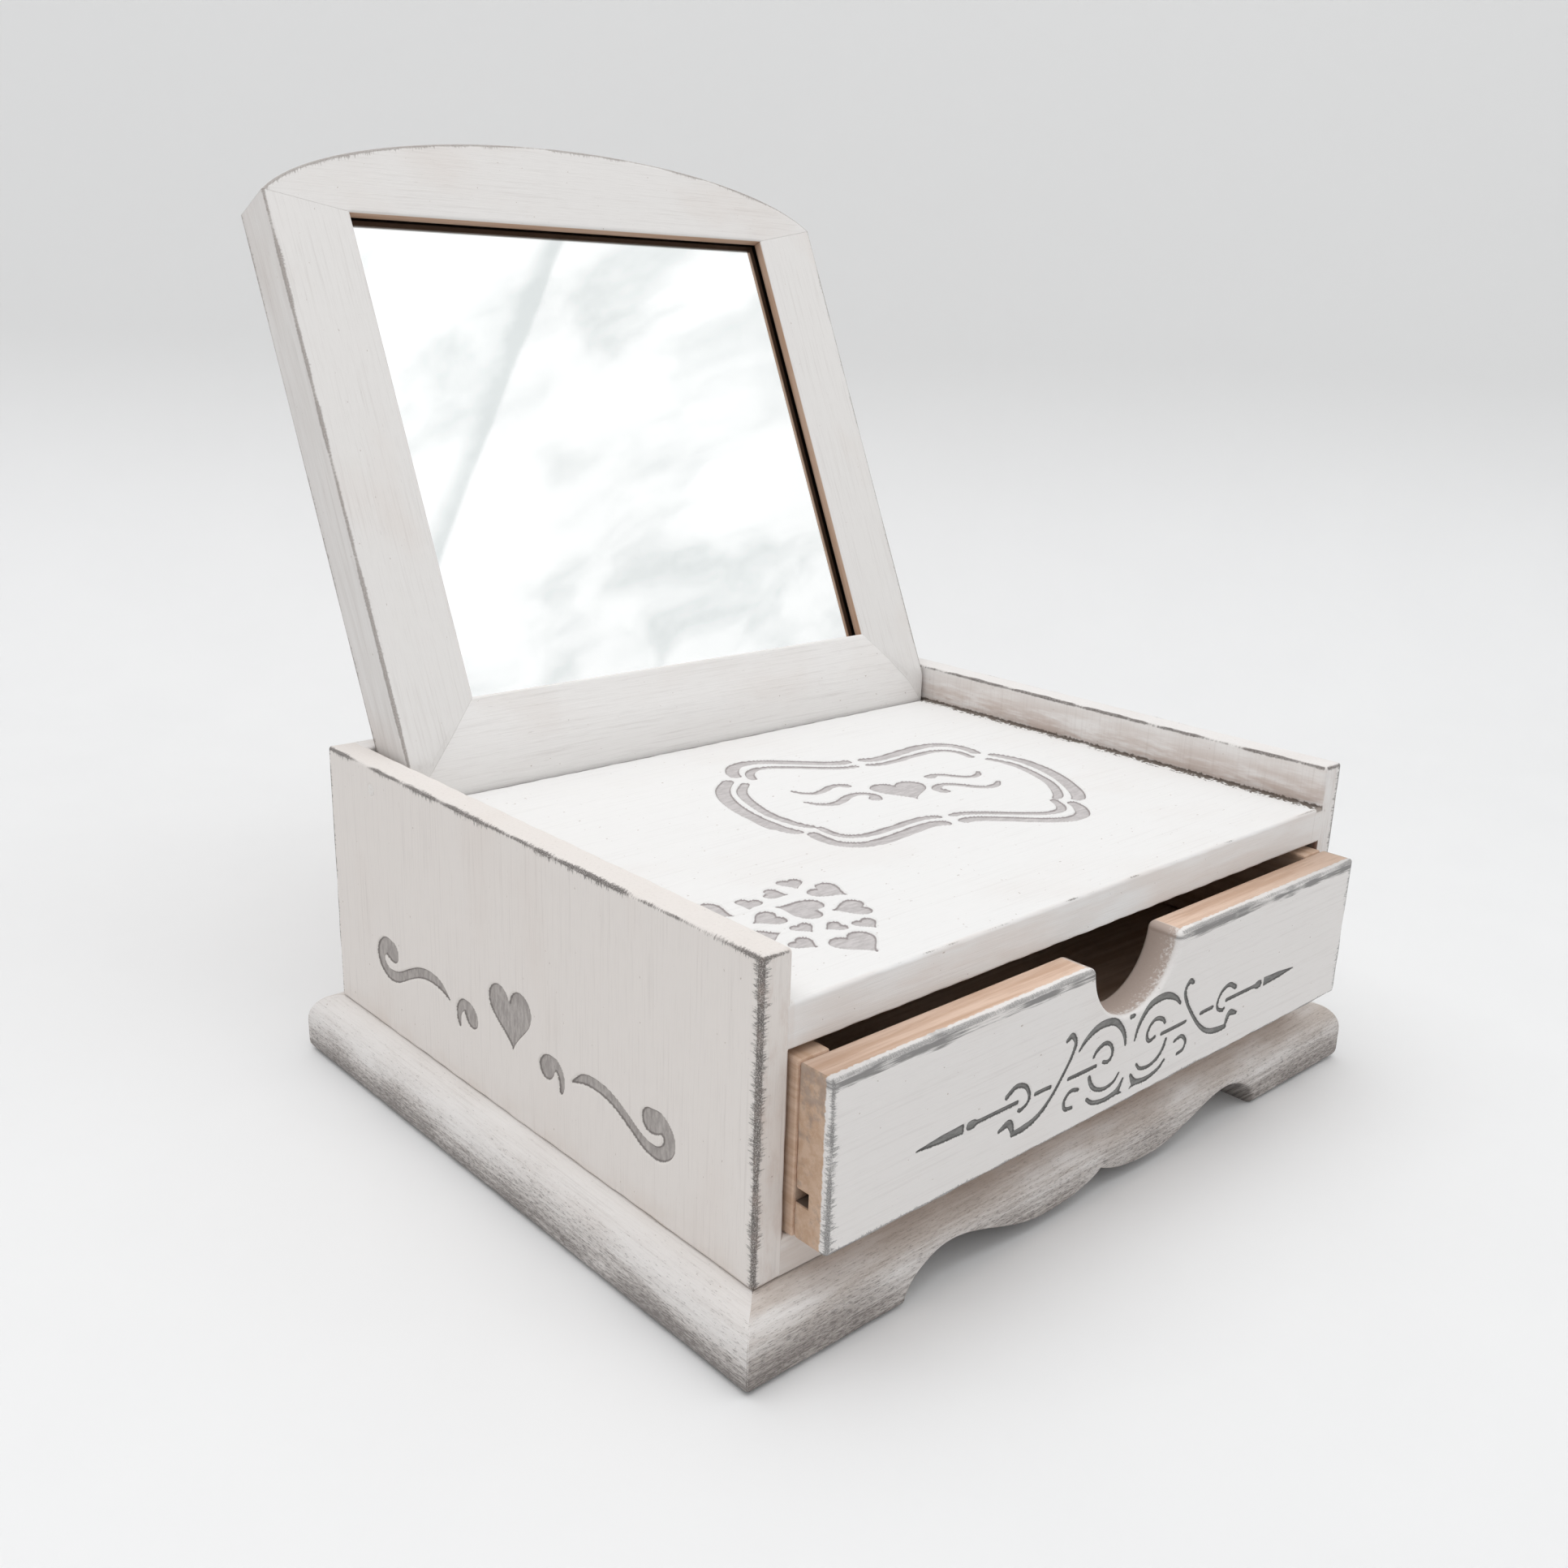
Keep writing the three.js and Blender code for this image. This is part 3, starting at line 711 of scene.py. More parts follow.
def lid_section():
    """Rows of (offset, edge, depth) round the section.

    Where `edge` is 0 the offset is measured from the window, where it is 1 from outside.
    """
    turn = np.linspace(0, math.pi / 2, 4)
    s, c = np.sin(turn), np.cos(turn)
    lip, rim, rear = 0.6, ARRIS, 0.7
    window = np.stack([lip * (1 - s), 0 * s, lip * (1 - c)], axis=1)[::-1]
    front = np.array([(1.2, 0, 0), (3, 0, 0), (6, 0, 0), (9, 0, 0), (9, 1, 0), (6, 1, 0),
                      (3, 1, 0), (1.5, 1, 0)], float)
    outside = np.stack([rim * (1 - s), 1 + 0 * s, rim * (1 - c)], axis=1)
    side = np.array([(0, 1, 4), (0, 1, 7.5), (0, 1, 11)], float)
    behind = np.stack([rear * (1 - c), 1 + 0 * s, LID_THICK - rear * (1 - s)], axis=1)
    back = np.array([(3, 1, LID_THICK), (6, 1, LID_THICK), (9, 1, LID_THICK),
                     (REBATE + 3, 0, LID_THICK), (REBATE + 0.4, 0, LID_THICK),
                     (REBATE, 0, LID_THICK - 0.4), (REBATE, 0, 9), (REBATE, 0, LIP + 0.2),
                     (REBATE - 0.2, 0, LIP), (2, 0, LIP), (0.3, 0, LIP), (0, 0, LIP - 0.3)])
    return np.concatenate([window, front, outside, side, behind, back])


def lid_member(name, inner, outer):
    """A member of the frame: the section carried between the window's edge and the outer edge.

    Point = inner + share * (outer - inner), where the share comes from the section's offset.
    Whatever is in front of the heel's bevel is pushed back onto it.
    """
    section = lid_section()
    run = np.linalg.norm(outer - inner, axis=1)
    shares = np.empty((len(inner), len(section)))
    for i, (offset, edge, _) in enumerate(section):
        shares[:, i] = 1 - offset / run if edge else hang(inner, outer, max(offset, 1e-6))
    order = np.maximum.accumulate(shares[:, 4:15], axis=1)
    shares[:, 4:15] = order
    flat = inner[:, None, :] + shares[..., None] * (outer - inner)[:, None, :]
    depth = np.broadcast_to(section[:, 2], shares.shape).copy()
    low = flat[..., 1]
    bevel = (HEEL_RIDGE - low) * math.tan(LEAN)
    depth = np.maximum(depth, np.minimum(bevel, LID_THICK - 1))
    points = np.stack([flat[..., 0], depth + FACE, flat[..., 1]], axis=-1)
    placed = out_of_lid(points.reshape(-1, 3)).reshape(points.shape)
    member = shell_of_loops(name + "_member", placed)
    member.data.set_sharp_from_angle(angle=math.radians(35))
    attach(member, "lid")
    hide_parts(name)
    return member


def straight(start, end, steps, ease=0.0):
    """Points from start to end, gathered towards both ends when ease is above nothing."""
    t = np.linspace(0, 1, steps)
    t = t - ease * np.sin(2 * math.pi * t) / (2 * math.pi)
    return np.array(start, float) + t[:, None] * (np.array(end, float) - np.array(start, float))


def lid_frame():
    """The four members between the window's corners and the lid's corners."""
    gap = 0.06
    corner = math.acos(LID_HALF / ARCH_HALF)
    angle = np.linspace(math.pi - corner, corner, 72)
    arch = np.stack([ARCH_HALF * np.cos(angle),
                     CROWN - ARCH_RISE + ARCH_RISE * np.sin(angle)], axis=1)
    top = lid_member("lid_top_rail", straight((-WINDOW_HALF, HEAD), (WINDOW_HALF, HEAD), 72), arch)
    bottom = lid_member("lid_bottom_rail", straight((WINDOW_HALF, SILL), (-WINDOW_HALF, SILL), 60),
                        straight((LID_HALF, HEEL), (-LID_HALF, HEEL), 60))
    left = lid_member(
        "lid_left_stile",
        straight((-WINDOW_HALF, SILL + gap), (-WINDOW_HALF, HEAD - gap), 90, 0.8),
        straight((-LID_HALF, HEEL + gap), (-LID_HALF, SHOULDER - gap), 90, 0.8))
    right = lid_member(
        "lid_right_stile",
        straight((WINDOW_HALF, HEAD - gap), (WINDOW_HALF, SILL + gap), 90, 0.8),
        straight((LID_HALF, SHOULDER - gap), (LID_HALF, HEEL + gap), 90, 0.8))
    return [top, bottom, left, right]


lid_members = lid_frame()

# %% [markdown]
# ## The mirror
#
# The mirror is a sheet of silvered glass with its cut edges rubbed smooth. It is one more
# rounded board, drawn upright and leaned with the lid. Its finish does the rest.

# %% Mirror
def mirror():
    """The pane, as a thin rounded board in the lid's plane."""
    low, high = in_lid("mirror_glass")
    lines = [grid_lines(low[i], high[i], 0.3, step=9.0) for i in range(3)]
    points, quads, loops, smooth = rounded_board(low, high, 0.3, lines, wobble=0)
    sheet = make_piece("mirror_pane", out_of_lid(points), quads, loops, smooth)
    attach(sheet, "lid")
    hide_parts("mirror_glass")
    return sheet


mirror_pane = mirror()

# %% [markdown]
# ## The drawer front
#
# The front has the busiest ornament, a row of fine scrolls, and a half-round finger notch
# whose corners were sanded over. The notch and the rounded top edge are one cut: a cutter
# whose outline grows towards both faces by a quarter round's amount leaves them rounded.
# A second cutter makes the groove for the drawer's bottom. Both are taken out with Boolean
# modifiers, and the distance to the ornament is worked out again on the finished mesh.

# %% Drawer ornament
DRAWER_STROKES = [
    [(-53.2, 38.8, 1.7), (-52.2, 38.8, 1.8), (-51.2, 38.8, 1.0), (-49.8, 38.8, 0.7),
     (-44, 38.8, 0.7), (-38.5, 38.8, 0.7)],
    [(-42.1, 41.2, 1.0), (-39.2, 42.6, 0.9), (-36.2, 41.7, 0.8), (-34.7, 39.3, 0.7),
     (-35.2, 37.5, 0.6), (-37.1, 36.6, 0.7), (-37.9, 36.8, 0.6)],
    [(-32.7, 38.7, 0.7), (-30, 38.7, 0.7), (-27.8, 38.6, 0.7)],
    [(-23.2, 47.8, 0.8), (-21.7, 48.5, 1.1), (-20.3, 47.0, 0.9), (-20.4, 45.3, 0.9),
     (-21.7, 42.8, 0.7), (-24.2, 39.5, 0.7), (-26.7, 36.6, 0.7), (-29.6, 34.1, 0.9),
     (-32.5, 32.6, 1.1), (-35.8, 31.9, 1.3), (-39.3, 31.7, 1.0)],
    [(-39.3, 31.7, 0.6), (-39.7, 33.3, 1.3), (-40.9, 34.8, 1.5), (-43.7, 34.0, 0.7)],
    [(-18.6, 44.0, 0.5), (-16.7, 45.8, 1.0), (-13.3, 47.4, 1.5), (-10.0, 47.7, 1.6),
     (-6.7, 47.1, 1.5), (-4.2, 45.2, 1.2), (-2.5, 42.8, 0.9), (-1.7, 40.1, 0.5)],
    [(-13.2, 40.8, 0.6), (-12.1, 42.0, 0.8), (-9.6, 42.8, 0.8), (-7.5, 42.0, 0.7),
     (-6.4, 40.2, 0.7), (-6.7, 38.7, 0.7), (-7.9, 37.9, 0.7), (-9.6, 38.4, 0.6)],
    [(-21.7, 38.4, 0.6), (-17, 38.3, 0.7), (-12.1, 38.3, 0.6)],
    [(-17.9, 34.6, 0.6), (-20.4, 35.1, 0.7), (-22.3, 33.8, 0.7), (-22.5, 32.4, 0.7),
     (-21.7, 31.2, 0.7), (-19.6, 30.9, 0.6)],
    [(-14.2, 36.2, 0.8), (-13.2, 34.1, 0.9), (-11.3, 32.4, 0.8), (-8.3, 31.5, 0.7),
     (-5.0, 32.0, 0.6), (-3.3, 33.6, 0.4)],
    [(-14.4, 31.0, 0.6), (-12.1, 29.4, 0.8), (-8.3, 28.6, 0.9), (-5.0, 28.8, 1.1),
     (-3.0, 29.4, 1.4), (-1.4, 31.6, 0.5)]]
DRAWER_OUTLINES = [
    [(-68.6, 38.8), (-62, 38.1), (-55, 37.8), (-55, 39.8), (-62, 39.5)],
    [(-3.2, 29.4), (-1.5, 28.2), (-4.6, 28.5)]]
CENTRE_DOT = [[(-0.5, 46.4, 0.9), (0.5, 46.4, 0.9)]]
FRONT_RADIUS = 1.0
NOTCH = 15.2
NOTCH_CORNER = 1.7
CUT_MARGIN = 3.0
GROOVE = (7.8, 11.2, 4.0)
FINE_DEPTH = 0.4
DRAWER_SPREAD = 0.17
SCROLLS_WIDE, SCROLLS_TALL, SCROLLS_FINE = (-69.6, 69.6), (27.3, 49.5), 0.3


def notch_cutter(low, high):
    """What is above the front's top edge and inside its notch.

    Grown by e, the notch is an arc of radius R + e, each corner an arc of radius f - e about a
    centre R + f from the notch's, and the top edge e lower. e follows a quarter round in depth.
    """
    top, half = high[2], high[0]
    corner = math.atan2(NOTCH_CORNER, math.sqrt((NOTCH + NOTCH_CORNER) ** 2 - NOTCH_CORNER ** 2))
    turn = np.linspace(0, math.pi / 2, 6)
    r = FRONT_RADIUS
    depth_front, grow_front = r * (1 - np.cos(turn)), r * (1 - np.sin(turn))
    depths = np.concatenate([[low[1] - 1], low[1] + depth_front,
                             high[1] - depth_front[::-1], [high[1] + 1]])
    grows = np.concatenate([[r], grow_front, grow_front[::-1], [r]])[:, None]
    bowl = np.linspace(-math.pi / 2, -corner, 26)
    rounded = np.linspace(math.pi - corner, math.pi / 2, 8)
    across = (NOTCH + NOTCH_CORNER) * math.cos(corner)
    x = np.concatenate([(NOTCH + grows) * np.cos(bowl),
                        across + (NOTCH_CORNER - grows) * np.cos(rounded)], axis=1)
    z = np.concatenate([top + (NOTCH + grows) * np.sin(bowl),
                        top - NOTCH_CORNER + (NOTCH_CORNER - grows) * np.sin(rounded)], axis=1)
    far = np.broadcast_to([half + CUT_MARGIN], grows.shape)
    x = np.concatenate([x, far, far], axis=1)
    z = np.concatenate([z, top - grows, top + 2 * CUT_MARGIN + 0 * grows], axis=1)
    x = np.concatenate([x, -x[:, :0:-1]], axis=1)
    z = np.concatenate([z, z[:, :0:-1]], axis=1)
    y = np.broadcast_to(depths[:, None], x.shape)
    return shell_of_loops("notch_cutter", np.stack([x, y, z], axis=-1))


def carved(piece, *cutters):
    """The piece's mesh with the cutters taken out of it; the cutters are thrown away."""
    for cutter in cutters:
        cut = piece.modifiers.new(cutter.name, "BOOLEAN")
        cut.operation, cut.solver, cut.object = "DIFFERENCE", "EXACT", cutter
    ready = piece.evaluated_get(bpy.context.evaluated_depsgraph_get())
    mesh = bpy.data.meshes.new_from_object(ready)
    piece.modifiers.clear()
    piece.data = mesh
    for cutter in cutters:
        bpy.data.objects.remove(cutter)
    return piece


def drawer_distance(points):
    """Distance to the drawer's ornament on its front face, and 3 mm everywhere else."""
    strokes = mirrored(DRAWER_STROKES) + CENTRE_DOT
    outlines = [np.array(o) for o in DRAWER_OUTLINES]
    outlines += [o * [-1, 1] for o in outlines]
    distance = ornament_distance(points[:, [0, 2]], strokes, outlines)
    return np.minimum(distance - DRAWER_SPREAD, FAR)


def drawer_face():
    """The drawer's front board, with its ornament, notch and groove."""
    low, high = box_mm("drawer_front")
    tall = high + [0, 0, CUT_MARGIN]
    lines = [
        grid_lines(low[0], tall[0], FRONT_RADIUS, fine=[(*SCROLLS_WIDE, SCROLLS_FINE)]),
        grid_lines(low[1], tall[1], FRONT_RADIUS),
        grid_lines(low[2], tall[2], FRONT_RADIUS, fine=[(*SCROLLS_TALL, SCROLLS_FINE)])]
    points, quads, loops, smooth = rounded_board(low, tall, FRONT_RADIUS, lines, [(1, 1)])
    distance = np.where(points[:, 1] - low[1] < 0.01, drawer_distance(points), FAR)
    depth = sink(distance, FINE_DEPTH)
    points[:, 1] += depth
    smooth |= (depth[quads] > 0).any(axis=1)
    board = make_piece("drawer_front_board", points, quads, loops, smooth)
    start = np.array([low[0] - 1, high[1] - GROOVE[2], low[2] + GROOVE[0]])
    end = np.array([high[0] + 1, high[1] + 1, low[2] + GROOVE[1]])
    ring = np.array([(start[0], start[1], start[2]), (start[0], start[1], end[2]),
                     (start[0], end[1], end[2]), (start[0], end[1], start[2])])
    groove = shell_of_loops("groove_cutter", np.stack([ring, ring + [end[0] - start[0], 0, 0]]))
    carved(board, notch_cutter(low, high), groove)
    done = np.empty(len(board.data.vertices) * 3)
    board.data.vertices.foreach_get("co", done)
    done = done.reshape(-1, 3) / MM
    distance = np.where(done[:, 1] - low[1] < FINE_DEPTH + 0.01, drawer_distance(done), FAR)
    keep(board, "cut", distance)
    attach(board, "drawer")
    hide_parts("drawer_front")
    print(board.name, len(board.data.polygons), "faces")
    return board


drawer_front = drawer_face()

# %% [markdown]
# ## The filled pin holes
#
# A dab of filler closes the hole over each pin. It is a low round dome, turned about the
# pin's axis: a profile from the rim to the middle, carried round a circle.

# %% Plugs
PLUG_SIDES = 28


def plug(name):
    """A dome: radius falls from the rim to nothing while the height rises by a quarter round."""
    low, high = box_mm(name)
    outward = -1 if low[0] < 0 else 1
    outer = low[0] if outward < 0 else high[0]
    centre = (low + high) / 2
    radius = (high[2] - low[2]) / 2
    turn = np.linspace(0, math.pi / 2, 6)
    rim = radius - 0.18 + 0.18 * np.cos(turn)
    dome = np.linspace(rim[-1], 0.05, 5)[1:]
    radii = np.concatenate([[radius], rim, dome])
    sunk = np.concatenate([[1.4], 0.22 - 0.18 * np.sin(turn), 0.04 - 0.04 * (1 - dome / radius)])
    angle = np.linspace(0, 2 * math.pi, PLUG_SIDES, endpoint=False)
    rings = np.stack([
        np.broadcast_to((outer - outward * sunk)[:, None], (len(radii), PLUG_SIDES)),
        centre[1] - outward * radii[:, None] * np.cos(angle),
        centre[2] + radii[:, None] * np.sin(angle)], axis=-1)
    dab = shell_of_loops(name + "_dab", rings)
    dab.data.set_sharp_from_angle(angle=math.radians(50))
    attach(dab, "case")
    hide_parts(name)
    return dab


plugs = [plug("left_pin_plug"), plug("right_pin_plug")]
print("plugs:", [len(dab.data.polygons) for dab in plugs], "faces")

# %% [markdown]
# ## Writing materials as sums
#
# A finish is arithmetic: how far from an edge, how deep in a cut, how strong the grain. Each
# step of that could be a node placed by hand. Here one small class stands for a value in the
# material, and adding or multiplying two values makes the Math node that does it.

# %% A value in a material
class Shade:
    """A value in a material's node tree. Arithmetic on it adds Math nodes."""

    def __init__(self, tree, socket=None):
        self.tree, self.socket = tree, socket

    def node(self, kind, settings=None, inputs=None, output=0):
        """Adds a node: its settings first, then a value or another shade for each socket."""
        made = self.tree.nodes.new(kind)
        for name, value in (settings or {}).items():
            setattr(made, name, value)
        for name, value in (inputs or {}).items():
            if isinstance(value, Shade):
                self.tree.links.new(value.socket, made.inputs[name])
            else:
                made.inputs[name].default_value = value
        return Shade(self.tree, made.outputs[output]) if made.outputs else None

    def math(self, operation, *values):
        return self.node("ShaderNodeMath", {"operation": operation}, dict(enumerate(values)))

    def __add__(self, other):
        return self.math("ADD", self, other)

    def __sub__(self, other):
        return self.math("SUBTRACT", self, other)

    def __rsub__(self, other):
        return self.math("SUBTRACT", other, self)

    def __mul__(self, other):
        return self.math("MULTIPLY", self, other)

    def __truediv__(self, other):
        return self.math("DIVIDE", self, other)

    __radd__, __rmul__ = __add__, __mul__

    def least(self, other):
        return self.math("MINIMUM", self, other)

    def most(self, other):
        return self.math("MAXIMUM", self, other)

    def size(self):
        return self.math("ABSOLUTE", self)

    def root(self):
        return self.math("SQRT", self.most(0.0))

    def rise(self, start, end):
        """0 up to `start`, 1 from `end` on, and a smooth step between; end may be the lower."""
        low, high = min(start, end), max(start, end)
        step = self.node("ShaderNodeMapRange", {"interpolation_type": "SMOOTHSTEP"},
                         {0: self, 1: low, 2: high})
        return step if end > start else 1 - step

    def xyz(self):
        """A vector's three parts."""
        return [self.node("ShaderNodeSeparateXYZ", None, {0: self}, output=i) for i in range(3)]

    def vector(self, x, y, z):
        return self.node("ShaderNodeCombineXYZ", None, {0: x, 1: y, 2: z})

    def cloud(self, x, y, z, detail=2.0, rough=0.5):
        """Noise between 0 and 1 at a place made of three values, one blob to each unit."""
        return self.node("ShaderNodeTexNoise", None, {
            "Vector": self.vector(x, y, z), "Scale": 1.0, "Detail": detail, "Roughness": rough})

    def over(self, below, above):
        """The colour `above` where this mask is 1, `below` where it is 0."""
        return self.node("ShaderNodeMix", {"data_type": "RGBA"},
                         {0: self, 6: colour(below), 7: colour(above)}, output=2)


def colour(value):
    """A colour socket's value: a shade as it is, or three numbers with full opacity."""
    return value if isinstance(value, Shade) else (*value, 1)


def new_finish(name):
    """A new material and the place on the piece in mm, as a shade."""
    material = bpy.data.materials.new(name)
    material.use_nodes = True
    tree = material.node_tree
    tree.nodes.clear()
    place = Shade(tree).node("ShaderNodeTexCoord", output="Object")
    place = place.node("ShaderNodeVectorMath", {"operation": "SCALE"}, {0: place, "Scale": 1 / MM})
    return material, place


def close_finish(material, surface, height=None, lift=0.3):
    """Joins the shader: its sockets' values or shades, and a bump from a height in mm."""
    start = Shade(material.node_tree)
    if height is not None:
        surface["Normal"] = start.node("ShaderNodeBump", None, {
            "Strength": lift, "Distance": MM, "Height": height})
    shader = start.node("ShaderNodeBsdfPrincipled", None, surface)
    start.node("ShaderNodeOutputMaterial", None, {"Surface": shader})
    return material


# %% [markdown]
# ## White paint rubbed back
#
# Thin white paint lies over a grey-brown ground. Four things make it look real: the grain
# that shows through as faint streaks, warm clouds where the paint is thin, dark bristles
# where it was rubbed off the edges, and a few pits. A bristle starts at the edge and runs
# straight in for a random length, so its mask is only that length less the distance in.

# %% Grain, clouds and bristles
ARRIS_WORN = 0.45
# The paints are lit and shaded copies of one white: the deck's is lighter and cooler as painted
# light, the upright boards' are warmer as painted warm shade, the left side panel's is darker still
# as painted shade, and the lid's bottom rail has a lighter one as painted light bounced up from the
# deck.
PAINT = (0.81, 0.782, 0.76)
SHADED_SIDE_PAINT = (0.785, 0.738, 0.70)
LIT_DECK_PAINT = (0.83, 0.82, 0.808)
LID_PAINT = (0.785, 0.763, 0.742)
BOUNCE_LIT_HEEL_PAINT = (0.86, 0.84, 0.82)
THIN_PAINT = (0.70, 0.615, 0.56)
GROUND = (0.105, 0.091, 0.083)
SIDE_CUT = ((0.31, 0.28, 0.265), (0.47, 0.435, 0.41), (0.15, 0.13, 0.12))
DECK_CUT = ((0.45, 0.42, 0.415), (0.59, 0.555, 0.55), (0.24, 0.205, 0.20))
DRAWER_CUT = ((0.14, 0.138, 0.132), (0.25, 0.245, 0.235), (0.06, 0.056, 0.052))


def bristles(along, first, second, reach, seed, fine=2.3):
    """Wear on an edge: a dark line, and fine hairs across it that change in length along it.

    `first` and `second` are the distances in from the edge on the two faces that meet in it.
    """
    away, turn = (first + second - ARRIS_WORN).most(0.0), first - second
    patch = along.cloud(along * 0.07, seed, 0.5, 1.0).rise(0.3, 0.64)
    hair = along.cloud(along * fine, turn * 0.3, seed, 4.0, 0.8)
    length = hair.rise(0.3, 0.78) * (0.35 + patch * 0.8) * reach + 0.1
    body = ((length - away) / (0.35 * reach)).rise(0.0, 1.0)
    line = (hair * 1.1 + patch * 0.4 - 0.08 - away * 1.2).rise(0.02, 0.42)
    speck = along.cloud(along * 3.4, turn * 2.8, seed + 3, 3.0, 0.75).rise(0.33, 0.56)
    return (body * 0.8).most(line * 0.95) * (0.4 + speck * 0.6)


def paint_layers(grain, across, other, seed, thin=1.0, paint=PAINT):
    """The paint's colour and height before wear: streaks along the grain, clouds and pits."""
    streak = grain.cloud(across * 1.5, grain * 0.035, other * 1.5 + seed, 4.0, 0.6)
    fine = grain.cloud(across * 5.0, grain * 0.16, other * 5.0 + seed, 2.0)
    cloud = grain.cloud(across * 0.035 + seed, grain * 0.022, other * 0.035, 3.0)
    speck = grain.cloud(across * 1.25, grain * 0.7, other * 1.25 + seed, 1.0).rise(0.765, 0.80)
    warm = cloud.rise(0.5, 0.74) * (0.35 + streak * 0.8)
    dull = streak.rise(0.5, 0.78) * (0.22 * thin) + fine.rise(0.5, 0.82) * (0.12 * thin)
    dash = grain.cloud(across * 3.2, grain * 0.3, other * 3.2 + seed + 5, 2.0).rise(0.68, 0.76)
    dull = dull + dash * cloud.rise(0.4, 0.6) * (0.3 * thin)
    shade = (warm * (0.32 * thin)).over(paint, THIN_PAINT)
    shade = dull.over(shade, (0.45, 0.405, 0.38))
    shade = (speck * 0.55).over(shade, (0.36, 0.28, 0.235))
    height = streak * 0.22 + fine * 0.12 - speck * 0.3
    return shade, height


def cut_layers(shade, height, cut, across, grain, other, colours):
    """Paints the cut ornament: a mottled floor of two greys inside a thin dark line."""
    ragged = cut + (grain.cloud(across * 2.4, grain * 2.4, other * 2.4, 3.0) - 0.5) * 0.32
    mottle = grain.cloud(across * 1.3, grain * 0.3, other * 1.3, 4.0, 0.7).rise(0.34, 0.68)
    floor = mottle.over(colours[0], colours[1])
    inside = ragged.rise(0.06, -0.1)
    line = ragged.rise(-0.5, -0.15) * inside
    shade = (inside * 0.96).over(shade, floor)
    shade = (line * 0.75).over(shade, colours[2])
    return shade, height + inside * mottle * 0.15


def white_board(name, grain_axis, edges, cut=None, thin=1.0, extra=None, paint=PAINT):
    """White paint on a board whose grain runs along one axis, worn along the given edges.

    `edges` takes the place's x, y and z and gives (along, first, second, reach) for each edge.
    `extra` takes the place, the colour and the height, and adds what only this board has.
    """
    material, place = new_finish(name)
    parts = place.xyz()
    grain, across, other = (parts[(grain_axis + i) % 3] for i in range(3))
    shade, height = paint_layers(grain, across, other, 3.7 * grain_axis, thin, paint)
    worn = None
    for number, edge in enumerate(edges(*parts)):
        hairs = bristles(*edge, 11.3 * number + 1.9)
        worn = hairs if worn is None else worn.most(hairs)
    if worn is not None:
        shade = worn.over(shade, GROUND)
        height = height - worn * 0.25
    if extra:
        shade, height = extra(parts, shade, height)
    if cut:
        distance = place.node("ShaderNodeAttribute", {"attribute_name": "cut"}, output=2)
        shade, height = cut_layers(shade, height, distance, across, grain, other, cut)
    rough = 0.62 + grain.cloud(across * 0.9, grain * 0.2, other * 0.9) * 0.2
    return close_finish(material, {"Base Color": shade, "Roughness": rough}, height)


# %% [markdown]
# ## Bare wood
#
# The drawer is left unpainted. Its wood is a warm tan with darker lines along the grain, and
# the ends of the boards are darker still with short marks. The same function gives the
# inside of the case, which the paint never reached.

# %% Wood
WOOD_LIGHT = (0.75, 0.555, 0.435)
WOOD_MID = (0.60, 0.40, 0.285)
WOOD_DARK = (0.42, 0.26, 0.165)


def wood_layers(grain, across, other, seed=0.0):
    """Wood's colour and height: broad bands and fine pores, both stretched along the grain."""
    bend = grain.cloud(grain * 0.02, across * 0.05, other * 0.05 + seed) * 3.0
    band = grain.cloud(across * 0.5 + bend, grain * 0.018, other * 0.5 + seed, 4.0, 0.6)
    pore = grain.cloud(across * 4.5, grain * 0.12, other * 4.5 + seed, 3.0, 0.6)
    shade = band.rise(0.36, 0.66).over(WOOD_LIGHT, WOOD_MID)
    shade = (pore.rise(0.52, 0.78) * 0.55).over(shade, WOOD_DARK)
    return shade, band * 0.1 + pore * 0.2


def wood_board(name, grain_axis, aged=0.25):
    """Unfinished wood with its grain along one axis, darkened a little where it was handled."""
    material, place = new_finish(name)
    parts = place.xyz()
    grain, across, other = (parts[(grain_axis + i) % 3] for i in range(3))
    shade, height = wood_layers(grain, across, other)
    tone = grain.cloud(grain * 0.05, across * 0.08, other * 0.08) * aged + aged * 0.6
    shade = tone.over(shade, (0.40, 0.265, 0.155))
    return close_finish(material, {"Base Color": shade, "Roughness": 0.72}, height, 0.25)


# %% [markdown]
# ## The case's own wear
#
# Each board lists its worn edges. Where an edge line is away by a in one direction and b in
# the other, the sum a + b is its distance on both faces that meet there, and a factor on one
# of them makes the wear shorter on that face.

# %% Case finishes
case_low, case_high = box_mm("left_side_panel", "right_side_panel")
SIDE_X, FRONT_Y, BACK_Y, TOP_Z = case_high[0], case_low[1], case_high[1], case_high[2]
DECK_LOW, DECK_HIGH = box_mm("top_deck")
FLOOR_LOW, FLOOR_HIGH = box_mm("bottom_panel")


def wood_shadow(wood):
    """Wood darkened as painted shade, for the inside of the case."""
    return wood.node("ShaderNodeMix", {"data_type": "RGBA", "blend_type": "MULTIPLY"},
                     {0: 1.0, 6: wood, 7: (0.30, 0.26, 0.24, 1)}, output=2)


def bare_inside(parts, shade, height):
    """Leaves the inside unpainted a few millimetres behind the front, its wood darkened as painted
    shade.
    """
    x, y, z = parts
    ragged = y.cloud(x * 0.6, y * 0.6, z * 0.6, 3.0) * 5.0
    inside = (y - FRONT_Y + ragged).rise(5.0, 8.5)
    inside = inside * (SIDE_X - 7.2 - x.size()).rise(0.0, 0.3)
    inside = inside * (z - FLOOR_HIGH[2]).rise(-0.3, -0.1)
    inside = inside * (z - DECK_LOW[2]).rise(0.3, 0.1) * (BACK_Y - y).rise(1.0, 2.0)
    wood, _ = wood_layers(y, x, z)
    return inside.over(shade, wood_shadow(wood)), height


